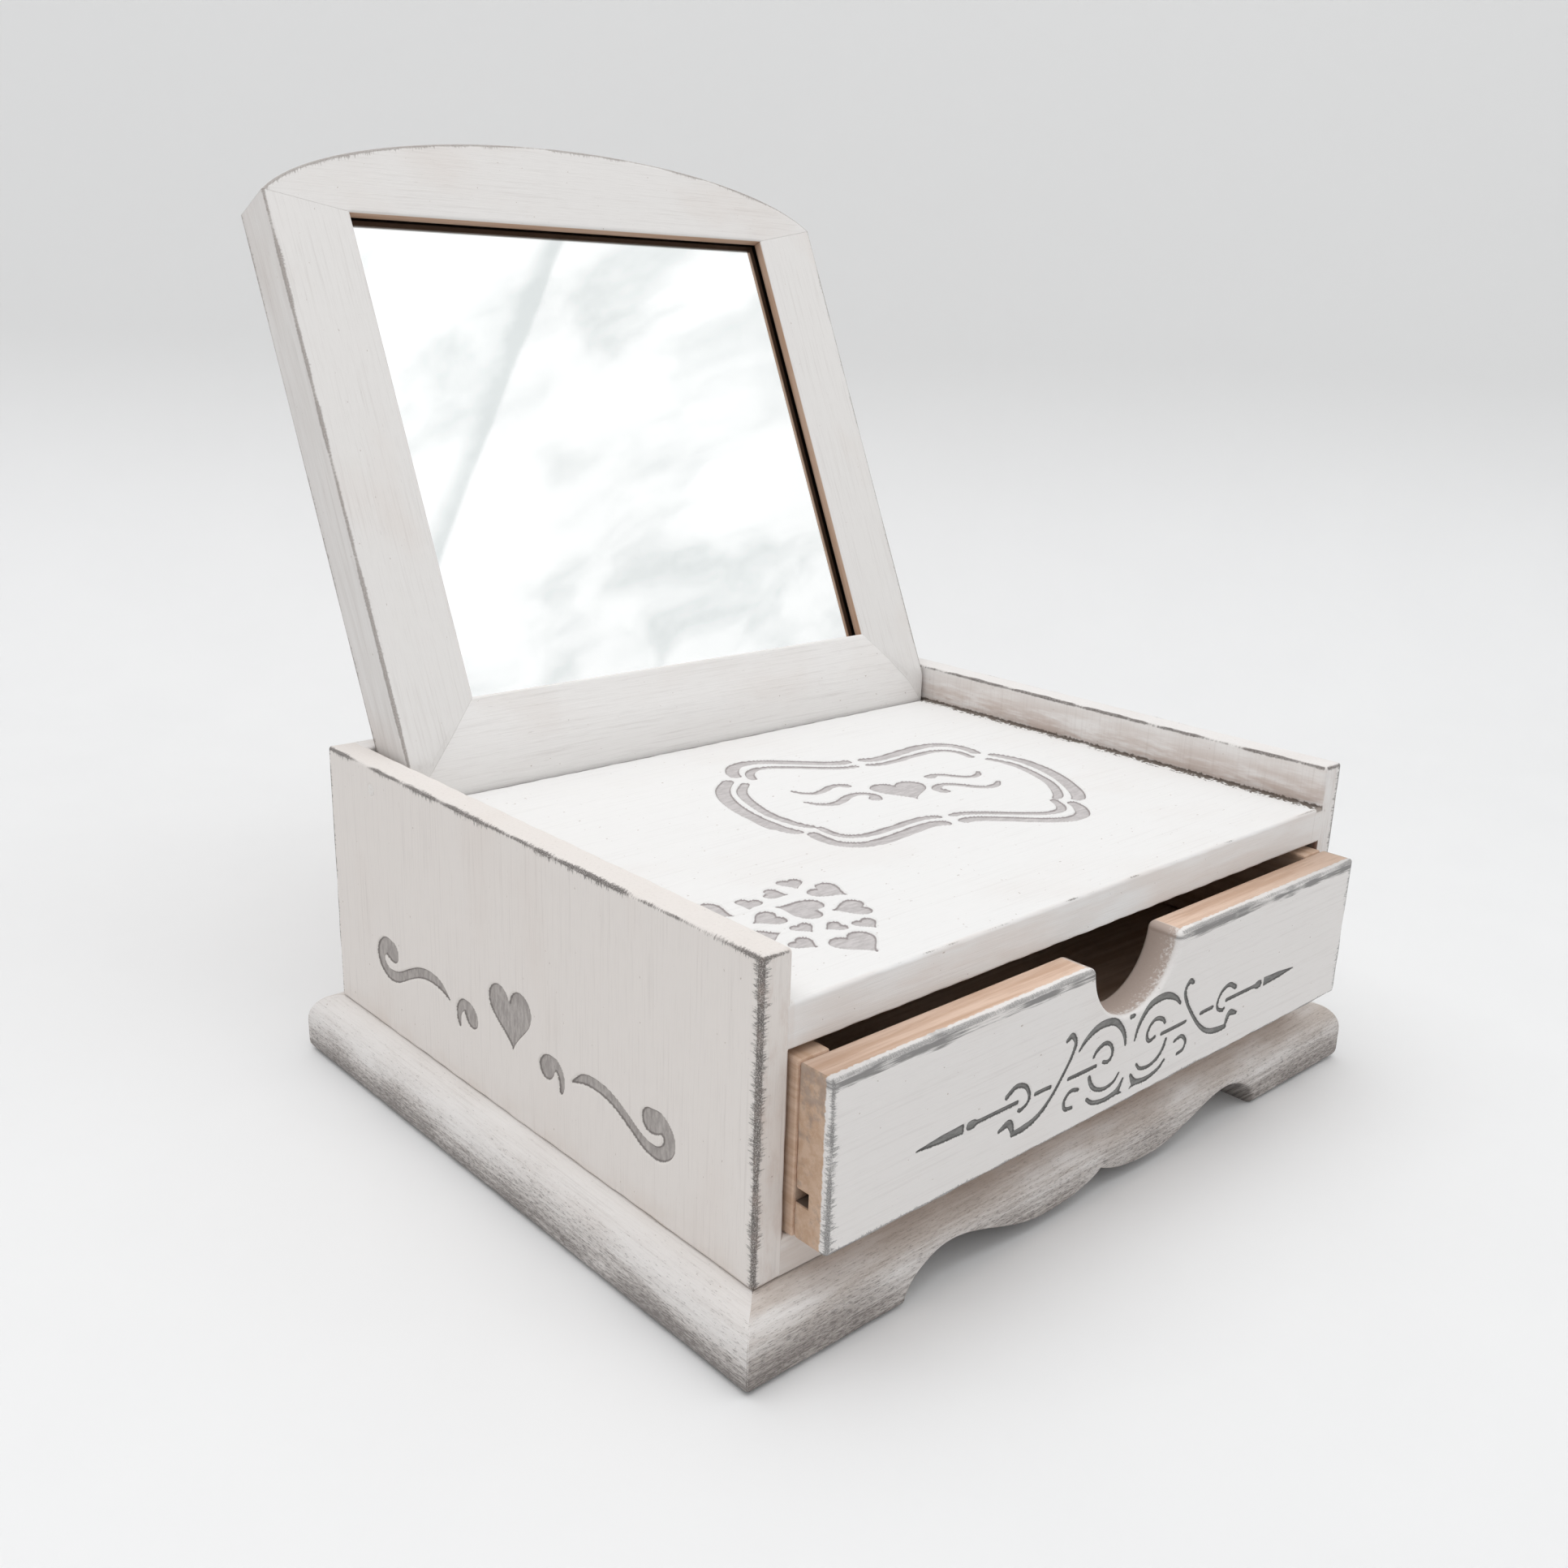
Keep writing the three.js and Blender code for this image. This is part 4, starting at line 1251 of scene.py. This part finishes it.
def side_extra(parts, shade, height):
    """A brown stain near the plinth, a painted shadow line in patches at its joint with the wall, a
    painted shade line along the opening, and the case's bare inside.
    """
    x, y, z = parts
    up = z - FLOOR_LOW[2]
    low = up.rise(7.0, 0.0) * y.cloud(y * 0.09, z * 0.12, 1.0, 3.0).rise(0.35, 0.75)
    # Painted shadow: a dark line in patches at the foot of the wall, where it meets the plinth.
    joint = up.rise(1.0, 0.2) * y.cloud(y * 0.06, 4.0, z * 0.2, 3.0).rise(0.48, 0.66)
    shade = (low * 0.3).over(shade, (0.60, 0.49, 0.40))
    shade = (joint * 0.5).over(shade, (0.40, 0.30, 0.21))
    edge = (y - FRONT_Y).rise(1.2, 0.6)
    smudge = edge * z.cloud(x * 0.35, z * 0.12, 3.0, 4.0, 0.7).rise(0.42, 0.75)
    shade = (smudge * 0.3).over(shade, (0.53, 0.40, 0.34))
    # Painted shade: a dark brown line on the front edge along the opening, for the shade of the
    # gap.
    rim = edge * (x.size() - SIDE_X + 7.5).rise(0.9, 0.35) * (DECK_LOW[2] - z).rise(-0.4, 0.0)
    shade = (rim * 0.85).over(shade, (0.14, 0.07, 0.05))
    return bare_inside(parts, shade, height)


def left_edges(x, y, z):
    out = x + SIDE_X
    return [(y, TOP_Z - z, out * 1.8, 2.0), (z, y - FRONT_Y, out, 2.6),
            (z, BACK_Y - y, out * 2.0, 1.6), (x, TOP_Z - z, (y - FRONT_Y) * 2.0, 1.2)]


def right_edges(x, y, z):
    out = SIDE_X - x
    inner = x - SIDE_X + 7.5
    return [(y, TOP_Z - z, out * 1.8, 2.0), (z, y - FRONT_Y, out, 2.4),
            (y, TOP_Z - z, inner.size() * 2.0, 1.0), (x, TOP_Z - z, (y - FRONT_Y) * 2.0, 1.2)]


def rail_stain(parts, shade, height):
    """Brown stain on the right rail's inner face, darkest at the joint with the deck."""
    x, y, z = parts
    face = (SIDE_X - 6.9 - x).rise(-0.2, 0.2)
    band = y.cloud(y * 0.05, z * 0.3, 2.0, 4.0, 0.65)
    up = z - DECK_HIGH[2]
    stain = face * up.rise(13.0, 0.0) * band.rise(0.3, 0.62)
    shade = (stain * 0.7).over(shade, (0.46, 0.335, 0.27))
    lump = y.cloud(y * 0.8, z * 0.8, 4.0, 4.0, 0.7)
    foot = face * (lump * 2.6 - up * 1.1).rise(0.7, 1.1)
    shade = (foot * 0.85).over(shade, (0.10, 0.07, 0.05))
    return side_extra(parts, shade, height)


def deck_edges(x, y, z):
    drop = DECK_HIGH[2] - z
    return [(x, (y - FRONT_Y) * 2.0, drop * 3.0, 0.6)]


def deck_extra(parts, shade, height):
    """Chips along the right rail's joint, the crevice at the left one, and the bare underside."""
    x, y, z = parts
    away = DECK_HIGH[0] - x
    lump = y.cloud(y * 0.85, x * 0.85, 3.0, 4.0, 0.7)
    run = y.cloud(y * 0.11, 6.0, 3.0).rise(0.34, 0.5)
    chips = ((lump - 0.32) * 15 * (0.35 + run * 0.65) - away).rise(0.0, 0.5)
    chips = chips * away.rise(4.5, 3.5) * (DECK_HIGH[2] - z).rise(1.2, 0.6)
    speck = y.cloud(y * 1.5, x * 1.5, 9.0, 2.0).rise(0.62, 0.68) * away.rise(5.0, 1.0)
    shade = (chips.most(speck) * 0.93).over(shade, (0.085, 0.06, 0.04))
    crevice = (x - DECK_LOW[0]).rise(1.0, 0.2)
    shade = (crevice * 0.25).over(shade, THIN_PAINT)
    front = (y - FRONT_Y).rise(1.2, 0.3)
    blotch = x.cloud(x * 0.04, z * 0.25, 5.0, 3.0).rise(0.3, 0.7)
    shade = (front * blotch * 0.4).over(shade, THIN_PAINT)
    shade, height = bare_inside(parts, shade, height)
    return shade, height + chips * 0.6


def floor_extra(parts, shade, height):
    """The strip under the drawer, browned in patches as painted shade, and the case's bare inside.
    """
    x, _, z = parts
    # Painted shade: brown patches on the strip under the drawer.
    strip_shade = x.cloud(x * 0.05, z * 0.3, 5.0, 4.0).rise(0.25, 0.6)
    shade = (strip_shade * 0.45).over(shade, (0.52, 0.41, 0.33))
    return bare_inside(parts, shade, height)


def back_edges(x, y, z):
    out = BACK_Y - y
    return [(x, TOP_Z - z, out, 2.0)]


def dress(piece, material):
    """Gives a piece its finish."""
    piece.data.materials.clear()
    piece.data.materials.append(material)


# The left side panel's darker, warmer paint is painted shade.
dress(side_boards[0], white_board("left_side_paint", 2, left_edges, SIDE_CUT, extra=side_extra,
                                 paint=SHADED_SIDE_PAINT))
dress(side_boards[1], white_board("right_side_paint", 2, right_edges, SIDE_CUT, extra=rail_stain))
# The deck's lighter, cooler paint is painted light.
dress(deck, white_board("deck_paint", 0, deck_edges, DECK_CUT, 0.5, deck_extra, LIT_DECK_PAINT))
dress(back_board, white_board("back_paint", 0, back_edges, extra=bare_inside))
dress(bottom_board, white_board("bottom_paint", 0, lambda x, y, z: [], extra=floor_extra))

# %% [markdown]
# ## The plinth's wash
#
# The plinth was painted, scrubbed along its grain and washed with grey. White is left on top
# of the nose, and towards the foot more and more of the ground shows in streaks. The front
# was scrubbed harder than the sides. The mask is streaked noise against a threshold that
# falls with height.

# %% Plinth finishes
WASH = (0.45, 0.395, 0.36)
WASH_DARK = (0.20, 0.18, 0.17)


def plinth_paint(name, grain_axis, bare):
    """Paint over grey, more of it gone towards the foot; `bare` lowers what is left on top."""
    material, place = new_finish(name)
    parts = place.xyz()
    grain, across, z = parts[grain_axis], parts[1 - grain_axis], parts[2]
    girth = z - across.size()
    shade, height = paint_layers(grain, girth, z, 8.0, 1.2)
    streak = grain.cloud(girth * 1.1, grain * 0.05, 5.0, 5.0, 0.68)
    patch = grain.cloud(girth * 0.1, grain * 0.035, 9.0, 3.0)
    dash = grain.cloud(girth * 3.2, grain * 0.5, 2.0, 4.0, 0.78)
    low = 1 - z / 16.0
    wash = streak * 0.7 + patch * 0.55 + low * (0.62 - 0.3 * bare) + (0.2 * bare - 0.62)
    soft = wash.rise(0.04, 0.58)
    dark = (wash + dash * 0.6 - 0.3).rise(0.2, 0.6) * low.rise(0.2, 0.85)
    pit = (dash + wash * 0.25 + low * 0.03).rise(0.62, 0.70)
    shade = (soft * (0.6 + 0.3 * bare)).over(shade, WASH)
    shade = (dark * 0.55).over(shade, WASH_DARK)
    shade = (pit * 0.55).over(shade, GROUND)
    # Painted shade: brown towards the plinth's top, where it meets the case's wall, strongest on
    # the front.
    brown = low.rise(0.45, 0.1) * patch.rise(0.25, 0.6)
    shade = (brown * (0.1 + 0.38 * bare)).over(shade, (0.52, 0.43, 0.36))
    edge = z.rise(1.5, 0.2) * dash.rise(0.3, 0.6)
    shade = (edge * 0.6).over(shade, WASH_DARK)
    height = height + streak * 0.25 - dark * 0.15 - pit * 0.3
    return close_finish(material, {"Base Color": shade, "Roughness": 0.72}, height, 0.4)


side_wash = plinth_paint("plinth_side_wash", 1, 0.0)
plinth_paints = [plinth_paint("plinth_front_wash", 0, 1.0), side_wash,
                 plinth_paint("plinth_back_wash", 0, 0.4), side_wash]
for run, wash in zip(plinth_runs, plinth_paints):
    dress(run, wash)

# %% [markdown]
# ## The lid's paint
#
# The lid is painted like the case, but its edges lie in the leaning plane. Two products and
# a sum turn the place on the piece into the lid's own depth and rise, and from there the
# arch is a distance like any other. The lip's inner edge was never painted.

# %% Lid finishes
def lid_place(place):
    """The place in the lid's own plane: across, back from the front face, and rise."""
    x, y, z = place.xyz()
    y, z = y - PIN[1], z - PIN[2]
    back = y * BACK_LID[0] + z * BACK_LID[1] - FACE
    return x, back, y * UP_LID[0] + z * UP_LID[1]


def lid_paint(name, upright, paint=LID_PAINT):
    """White paint for a stile or a rail of the lid."""
    material, place = new_finish(name)
    x, back, up = lid_place(place)
    grain, across = (up, x) if upright else (x, up)
    shade, height = paint_layers(grain, across, back, 5.0, 1.1, paint)
    side = LID_HALF - x.size()
    ratio = x / ARCH_HALF
    arch = (1 - ratio * ratio).root() * ARCH_RISE + (CROWN - ARCH_RISE) - up
    rear = LID_THICK - back
    worn = bristles(up, side * 1.3, back * 1.3, 1.3, 3.1).most(bristles(up, side, rear, 1.8, 5.5))
    worn = worn.most(bristles(x, arch, back * 1.5, 1.6, 8.2))
    worn = worn.most(bristles(x, arch, rear, 1.8, 6.1))
    # The outer side faces are greyed: faint streaks, over an even grey that is painted shade.
    outside = side.rise(1.0, 0.2)
    smear = up.cloud(up * 0.035, back * 0.5, 2.0, 4.0, 0.65).rise(0.3, 0.7)
    shade = (outside * (0.08 + smear * 0.22)).over(shade, (0.52, 0.47, 0.435))
    shade = (worn * 0.75).over(shade, (0.20, 0.16, 0.14))
    out = (x.size() - WINDOW_HALF).most(up - HEAD).most(SILL - up)
    bare = out.rise(0.5, 0.15) * back.rise(0.35, 0.6)
    behind = back.rise(LIP - 0.2, LIP) * out.rise(REBATE + 0.2, REBATE)
    wood, _ = wood_layers(grain, across, back)
    lip_wood_and_shadow = (bare * 0.45).over(wood, (0.32, 0.18, 0.10))
    # Painted shadow: near black at the rear of the lip, beside the mirror, for the gap's shadow.
    gap = out.rise(1.0, 0.5) * back.rise(LIP * 0.78, LIP * 0.95)
    lip_wood_and_shadow = (gap * 0.93).over(lip_wood_and_shadow, (0.03, 0.02, 0.015))
    shade = bare.most(behind).over(shade, lip_wood_and_shadow)
    height = height - worn * 0.3
    return close_finish(material, {"Base Color": shade, "Roughness": 0.7}, height)


stile_paint = lid_paint("lid_stile_paint", True)
# The bottom rail's lighter paint is painted light bounced up from the deck.
lid_coats = [lid_paint("lid_top_rail_paint", False),
             lid_paint("lid_bottom_rail_paint", False, BOUNCE_LIT_HEEL_PAINT), stile_paint, stile_paint]
for member, coat in zip(lid_members, lid_coats):
    dress(member, coat)

# %% [markdown]
# ## The drawer front's two finishes
#
# Only the face is painted. The paint wraps over the arris and stops in a ragged line, and in
# the finger notch it thins to a stipple. Grey bristles run in from the ends, and along the
# top and bottom the brush went lengthwise, so the wear there lies in streaks.

# %% Drawer finishes
DRAWER_LOW, DRAWER_HIGH = box_mm("drawer_front")
GROOVE_MID = DRAWER_LOW[2] + (GROOVE[0] + GROOVE[1]) / 2


def streaks(along, away, reach, seed):
    """Wear brushed along an edge: long dry streaks that fade with the distance in."""
    dry = along.cloud(along * 0.09, away * 1.9, seed, 4.0, 0.7)
    patch = along.cloud(along * 0.05, seed, 1.0).rise(0.3, 0.6)
    fade = (away / reach).rise(1.0, 0.0)
    return (dry * 1.1 + patch * 0.35 - 1.12 + fade * 0.6).rise(0.0, 0.3)


def drawer_paint():
    """Paint on the face, bare wood behind it, and painted shade in the groove."""
    material, place = new_finish("drawer_front_finish")
    x, y, z = place.xyz()
    depth = y - DRAWER_LOW[1]
    left, right = x - DRAWER_LOW[0], DRAWER_HIGH[0] - x
    low, top = z - DRAWER_LOW[2], DRAWER_HIGH[2] - z
    shade, height = paint_layers(x, z, y, 2.0, 0.8)
    worn = bristles(z, left, depth * 1.5, 3.4, 3.0).most(bristles(z, right, depth * 1.5, 2.6, 5.0))
    worn = worn.most(streaks(x, (top - 1.5).size(), 2.6, 4.0) * 0.9)
    worn = worn.most(bristles(x, top, depth * 1.2, 1.0, 12.0) * 0.8)
    worn = worn.most(streaks(x, low, 1.8, 7.0)).most(bristles(x, low, depth, 1.2, 9.0) * 0.9)
    shade = (worn * 0.92).over(shade, (0.15, 0.145, 0.142))
    distance = place.node("ShaderNodeAttribute", {"attribute_name": "cut"}, output=2)
    shade, height = cut_layers(shade, height, distance, z, x, y, DRAWER_CUT)
    wood, wood_height = wood_layers(x, z, y, 4.0)
    end = left.least(right).rise(0.4, 0.1)
    mark = x.cloud(y * 0.35, z * 0.3, 1.0, 4.0, 0.65)
    grime = end * (mark + top.rise(14.0, 3.0) * 0.16).rise(0.5, 0.72)
    wood = (end * 0.42).over(wood, (0.40, 0.265, 0.155))
    wood = (grime * 0.55).over(wood, (0.27, 0.225, 0.20))
    ragged = x.cloud(x * 0.5, z * 0.5, 2.0, 4.0, 0.7)
    bare = (depth + ragged * 1.6).rise(2.3, 2.7)
    notch = (NOTCH + 2.2 - (x * x + top * top).root()).rise(0.0, 0.8)
    stipple = x.cloud(x * 1.3, y * 1.3, z * 1.3, 3.0, 0.7)
    thin = (stipple * 1.1 + depth * 0.07).rise(0.42, 0.8)
    hollow = (thin * 0.85).over(shade, (0.40, 0.30, 0.245))
    # Painted shade: the groove's inside is made near black, for the shade in it.
    groove = left.least(right).rise(0.2, 0.6) * (z - GROOVE_MID).size().rise(1.9, 1.75)
    groove = groove * (DRAWER_HIGH[1] - y).rise(GROOVE[2] + 0.2, GROOVE[2] + 0.05)
    back = bare * (1 - notch)
    shade = (notch * depth.rise(0.8, 1.6)).over(shade, hollow)
    shade = back.over(shade, wood)
    shade = (groove * 0.9).over(shade, (0.05, 0.035, 0.025))
    height = height + wood_height * 0.3
    return close_finish(material, {"Base Color": shade, "Roughness": 0.68}, height)


dress(drawer_front, drawer_paint())
drawer_wood = [wood_board("drawer_wood_long", 1), wood_board("drawer_wood_cross", 0)]
for board, wood in zip(drawer_boards, (0, 0, 1, 1)):
    dress(board, drawer_wood[wood])

# %% [markdown]
# ## Mirror, backing, steel and filler
#
# The mirror is nearly all reflection, so its finish is a clean metal with a breath of dust
# that only changes the roughness. The rest is small: brown fibreboard, drawn steel, filler.

# %% Small finishes
def mirror_finish():
    """Silvered glass, faintly uneven, and dark where its edge lies in the frame's shadow."""
    material, place = new_finish("silvered_glass")
    x, y, z = place.xyz()
    dust = x.cloud(x * 0.05, y * 0.05, z * 0.05, 3.0)
    x, _, up = lid_place(place)
    inside = (WINDOW_HALF - x).least(HEAD - up)
    shade = inside.rise(2.6, 1.9).over((0.94, 0.95, 0.948), (0.09, 0.075, 0.065))
    return close_finish(material, {
        "Base Color": shade, "Metallic": 1.0, "Roughness": dust * 0.03 + 0.01})


def board_finish():
    """Fibreboard: brown, with short fibres and a smooth face."""
    material, place = new_finish("brown_fibreboard")
    x, y, z = place.xyz()
    fibre = x.cloud(x * 0.9, y * 0.9, z * 0.9, 4.0, 0.7)
    tone = x.cloud(x * 0.04, y * 0.04, z * 0.04, 2.0)
    pale = fibre.rise(0.35, 0.7) * 0.6 + tone * 0.4
    shade = pale.over((0.24, 0.145, 0.085), (0.42, 0.28, 0.18))
    return close_finish(material, {"Base Color": shade, "Roughness": 0.8}, fibre * 0.2)


def steel_finish():
    """Drawn steel wire with fine lines round it."""
    material, place = new_finish("drawn_steel")
    x, y, z = place.xyz()
    line = x.cloud(x * 6.0, y * 1.0, z * 1.0, 3.0)
    return close_finish(material, {
        "Base Color": line.over((0.42, 0.42, 0.43), (0.62, 0.62, 0.63)), "Metallic": 1.0,
        "Roughness": line * 0.2 + 0.3}, line * 0.05)


def filler_finish():
    """Painted filler, a little darker than the paint round it."""
    material, place = new_finish("painted_filler")
    x, y, z = place.xyz()
    grain = x.cloud(x * 2.0, y * 2.0, z * 2.0, 3.0)
    shade = grain.rise(0.3, 0.7).over((0.74, 0.70, 0.66), PAINT)
    return close_finish(material, {"Base Color": shade, "Roughness": 0.8}, grain * 0.2)


dress(mirror_pane, mirror_finish())
dress(backing, board_finish())
steel, filler = steel_finish(), filler_finish()
for dab in plugs:
    dress(dab, filler)
for name in ("left_lid_pin", "right_lid_pin", "left_brad", "right_brad", "bottom_brad", "top_brad"):
    dress(frame["nodes"][name], steel)

# %% [markdown]
# ## Floor, backdrop and light
#
# A pale sheet of paper runs level under the chest and turns up behind it. The light is one
# wide soft lamp above and a pale sky all round. Before the chest, high on the right, hangs a
# white cloth that glows, as painted light for a cloth lit from behind, with its creases
# painted grey as painted shade. It is what the mirror shows, so its creases matter.

# %% Floor
AHEAD = np.array([0.6782, 0.7349])
BEND_AT, BEND = 300.0, 170.0


def sweep():
    """A level floor that turns up into a wall along a quarter circle."""
    turn = np.linspace(0, math.pi / 2, 32)
    reach = np.concatenate([[-3500, -600, 0], BEND_AT + BEND * np.sin(turn), [BEND_AT + BEND]])
    rise = np.concatenate([[0, 0, 0], BEND * (1 - np.cos(turn)), [3000]])
    across = np.array([-3500.0, 3500.0])
    side = np.array([AHEAD[1], -AHEAD[0]])
    flat = reach[:, None, None] * AHEAD + across[None, :, None] * side
    heights = np.broadcast_to(rise[:, None, None], flat.shape[:2] + (1,))
    points = np.concatenate([flat, heights], axis=-1)
    quads = grid_faces(*points.shape[:2])
    return make_piece("paper_sweep", points.reshape(-1, 3), quads)


def paper():
    """Matt paper with a barely visible tooth, greyer up the wall as painted shade."""
    material, place = new_finish("backdrop_paper")
    x, y, z = place.xyz()
    tooth = x.cloud(x * 0.02, y * 0.02, z * 0.02, 3.0)
    shade = tooth.over((0.82, 0.82, 0.82), (0.85, 0.85, 0.848))
    # Painted shade: the paper greys from 60 mm up, for the light that falls off up the wall.
    shade = z.rise(60.0, 180.0).over(shade, (0.78, 0.78, 0.775))
    return close_finish(material, {"Base Color": shade, "Roughness": 0.9})


floor = sweep()
dress(floor, paper())

# %% Cloth
CLOTH_AT = np.array([800.0, -770.0, 940.0])
CLOTH_TO = np.array([0.0, 75.0, 155.0])
# The long fold's direction across the cloth, and how far it lies from the cloth's middle.
FOLD = (0.592, 0.806, 119.0)


def cloth():
    """A hanging cloth: a square grid whose depth follows a few slow sines."""
    normal = CLOTH_TO - CLOTH_AT
    normal /= np.linalg.norm(normal)
    across = np.cross([0, 0, 1.0], normal)
    across /= np.linalg.norm(across)
    up = np.cross(normal, across)
    u, v = np.meshgrid(np.linspace(-600, 600, 61), np.linspace(-600, 600, 61), indexing="ij")
    depth = 9 * np.sin(u / 55 + v / 130) + 5 * np.sin(u / 23 - v / 70)
    points = CLOTH_AT + u[..., None] * across + v[..., None] * up + depth[..., None] * normal
    piece = make_piece("white_cloth", points.reshape(-1, 3), grid_faces(*u.shape)[:, ::-1])
    keep(piece, "across", u)
    keep(piece, "up", v)
    return piece


def cloth_glow():
    """A glowing cloth, painted light for a cloth lit from behind: bright, with soft creases and one
    long fold painted grey as painted shade.
    """
    material, place = new_finish("lit_cloth")
    u = place.node("ShaderNodeAttribute", {"attribute_name": "across"}, output=2)
    v = place.node("ShaderNodeAttribute", {"attribute_name": "up"}, output=2)
    slow = u.cloud(u * 0.004, v * 0.004, 3.0, 3.0) - 0.5
    line = u * FOLD[0] + v * FOLD[1] + slow * 16 - FOLD[2]
    fold = line.rise(30.0, 0.0) * line.rise(-7.0, 0.0)
    crease = u.cloud(u * 0.0045 + slow * 1.6, v * 0.0105 + slow * 1.2, 4.4, 4.0, 0.55)
    crease = crease.rise(0.44, 0.68)
    weave = u.cloud(u * 0.06, v * 0.06, 1.0, 3.0, 0.7)
    # Painted shade: the fold and the creases are painted grey in both the colour and the glow, and
    # the glow is painted light.
    grey = (fold * 0.95 + crease * 0.8) * (0.65 + weave * 0.7)
    shade = grey.least(1.0).over((1.0, 1.0, 0.995), (0.72, 0.745, 0.74))
    return close_finish(material, {"Base Color": shade, "Roughness": 0.9,
                                   "Emission Color": shade, "Emission Strength": 0.27})


hanging = cloth()
dress(hanging, cloth_glow())


# %% Light
def soft_lamp(name, place, aim, size, power, tint=(1, 1, 1)):
    """A square area lamp that faces the point it is aimed at."""
    lamp = bpy.data.lights.new(name, "AREA")
    lamp.energy, lamp.size, lamp.color = power, size, tint
    holder = bpy.data.objects.new(name, lamp)
    turn = (Vector(aim) - Vector(place)).to_track_quat("-Z", "Y").to_matrix()
    holder.matrix_world = Matrix.Translation(place) @ turn.to_4x4()
    bpy.context.scene.collection.objects.link(holder)
    return holder


soft_lamp("overhead", (-0.27, 0.04, 1.45), (-0.1, 0, 0), 1.6, 12.6)
world = bpy.data.worlds.new("studio")
world.use_nodes = True
world.node_tree.nodes["Background"].inputs["Color"].default_value = (0.97, 0.98, 1, 1)
world.node_tree.nodes["Background"].inputs["Strength"].default_value = 0.64
bpy.context.scene.world = world
bpy.context.scene.view_settings.view_transform = "Standard"

# %% [markdown]
# ## Finish
#
# The number of finishes is printed.

# %% Finishes
print("finishes:", len(bpy.data.materials))
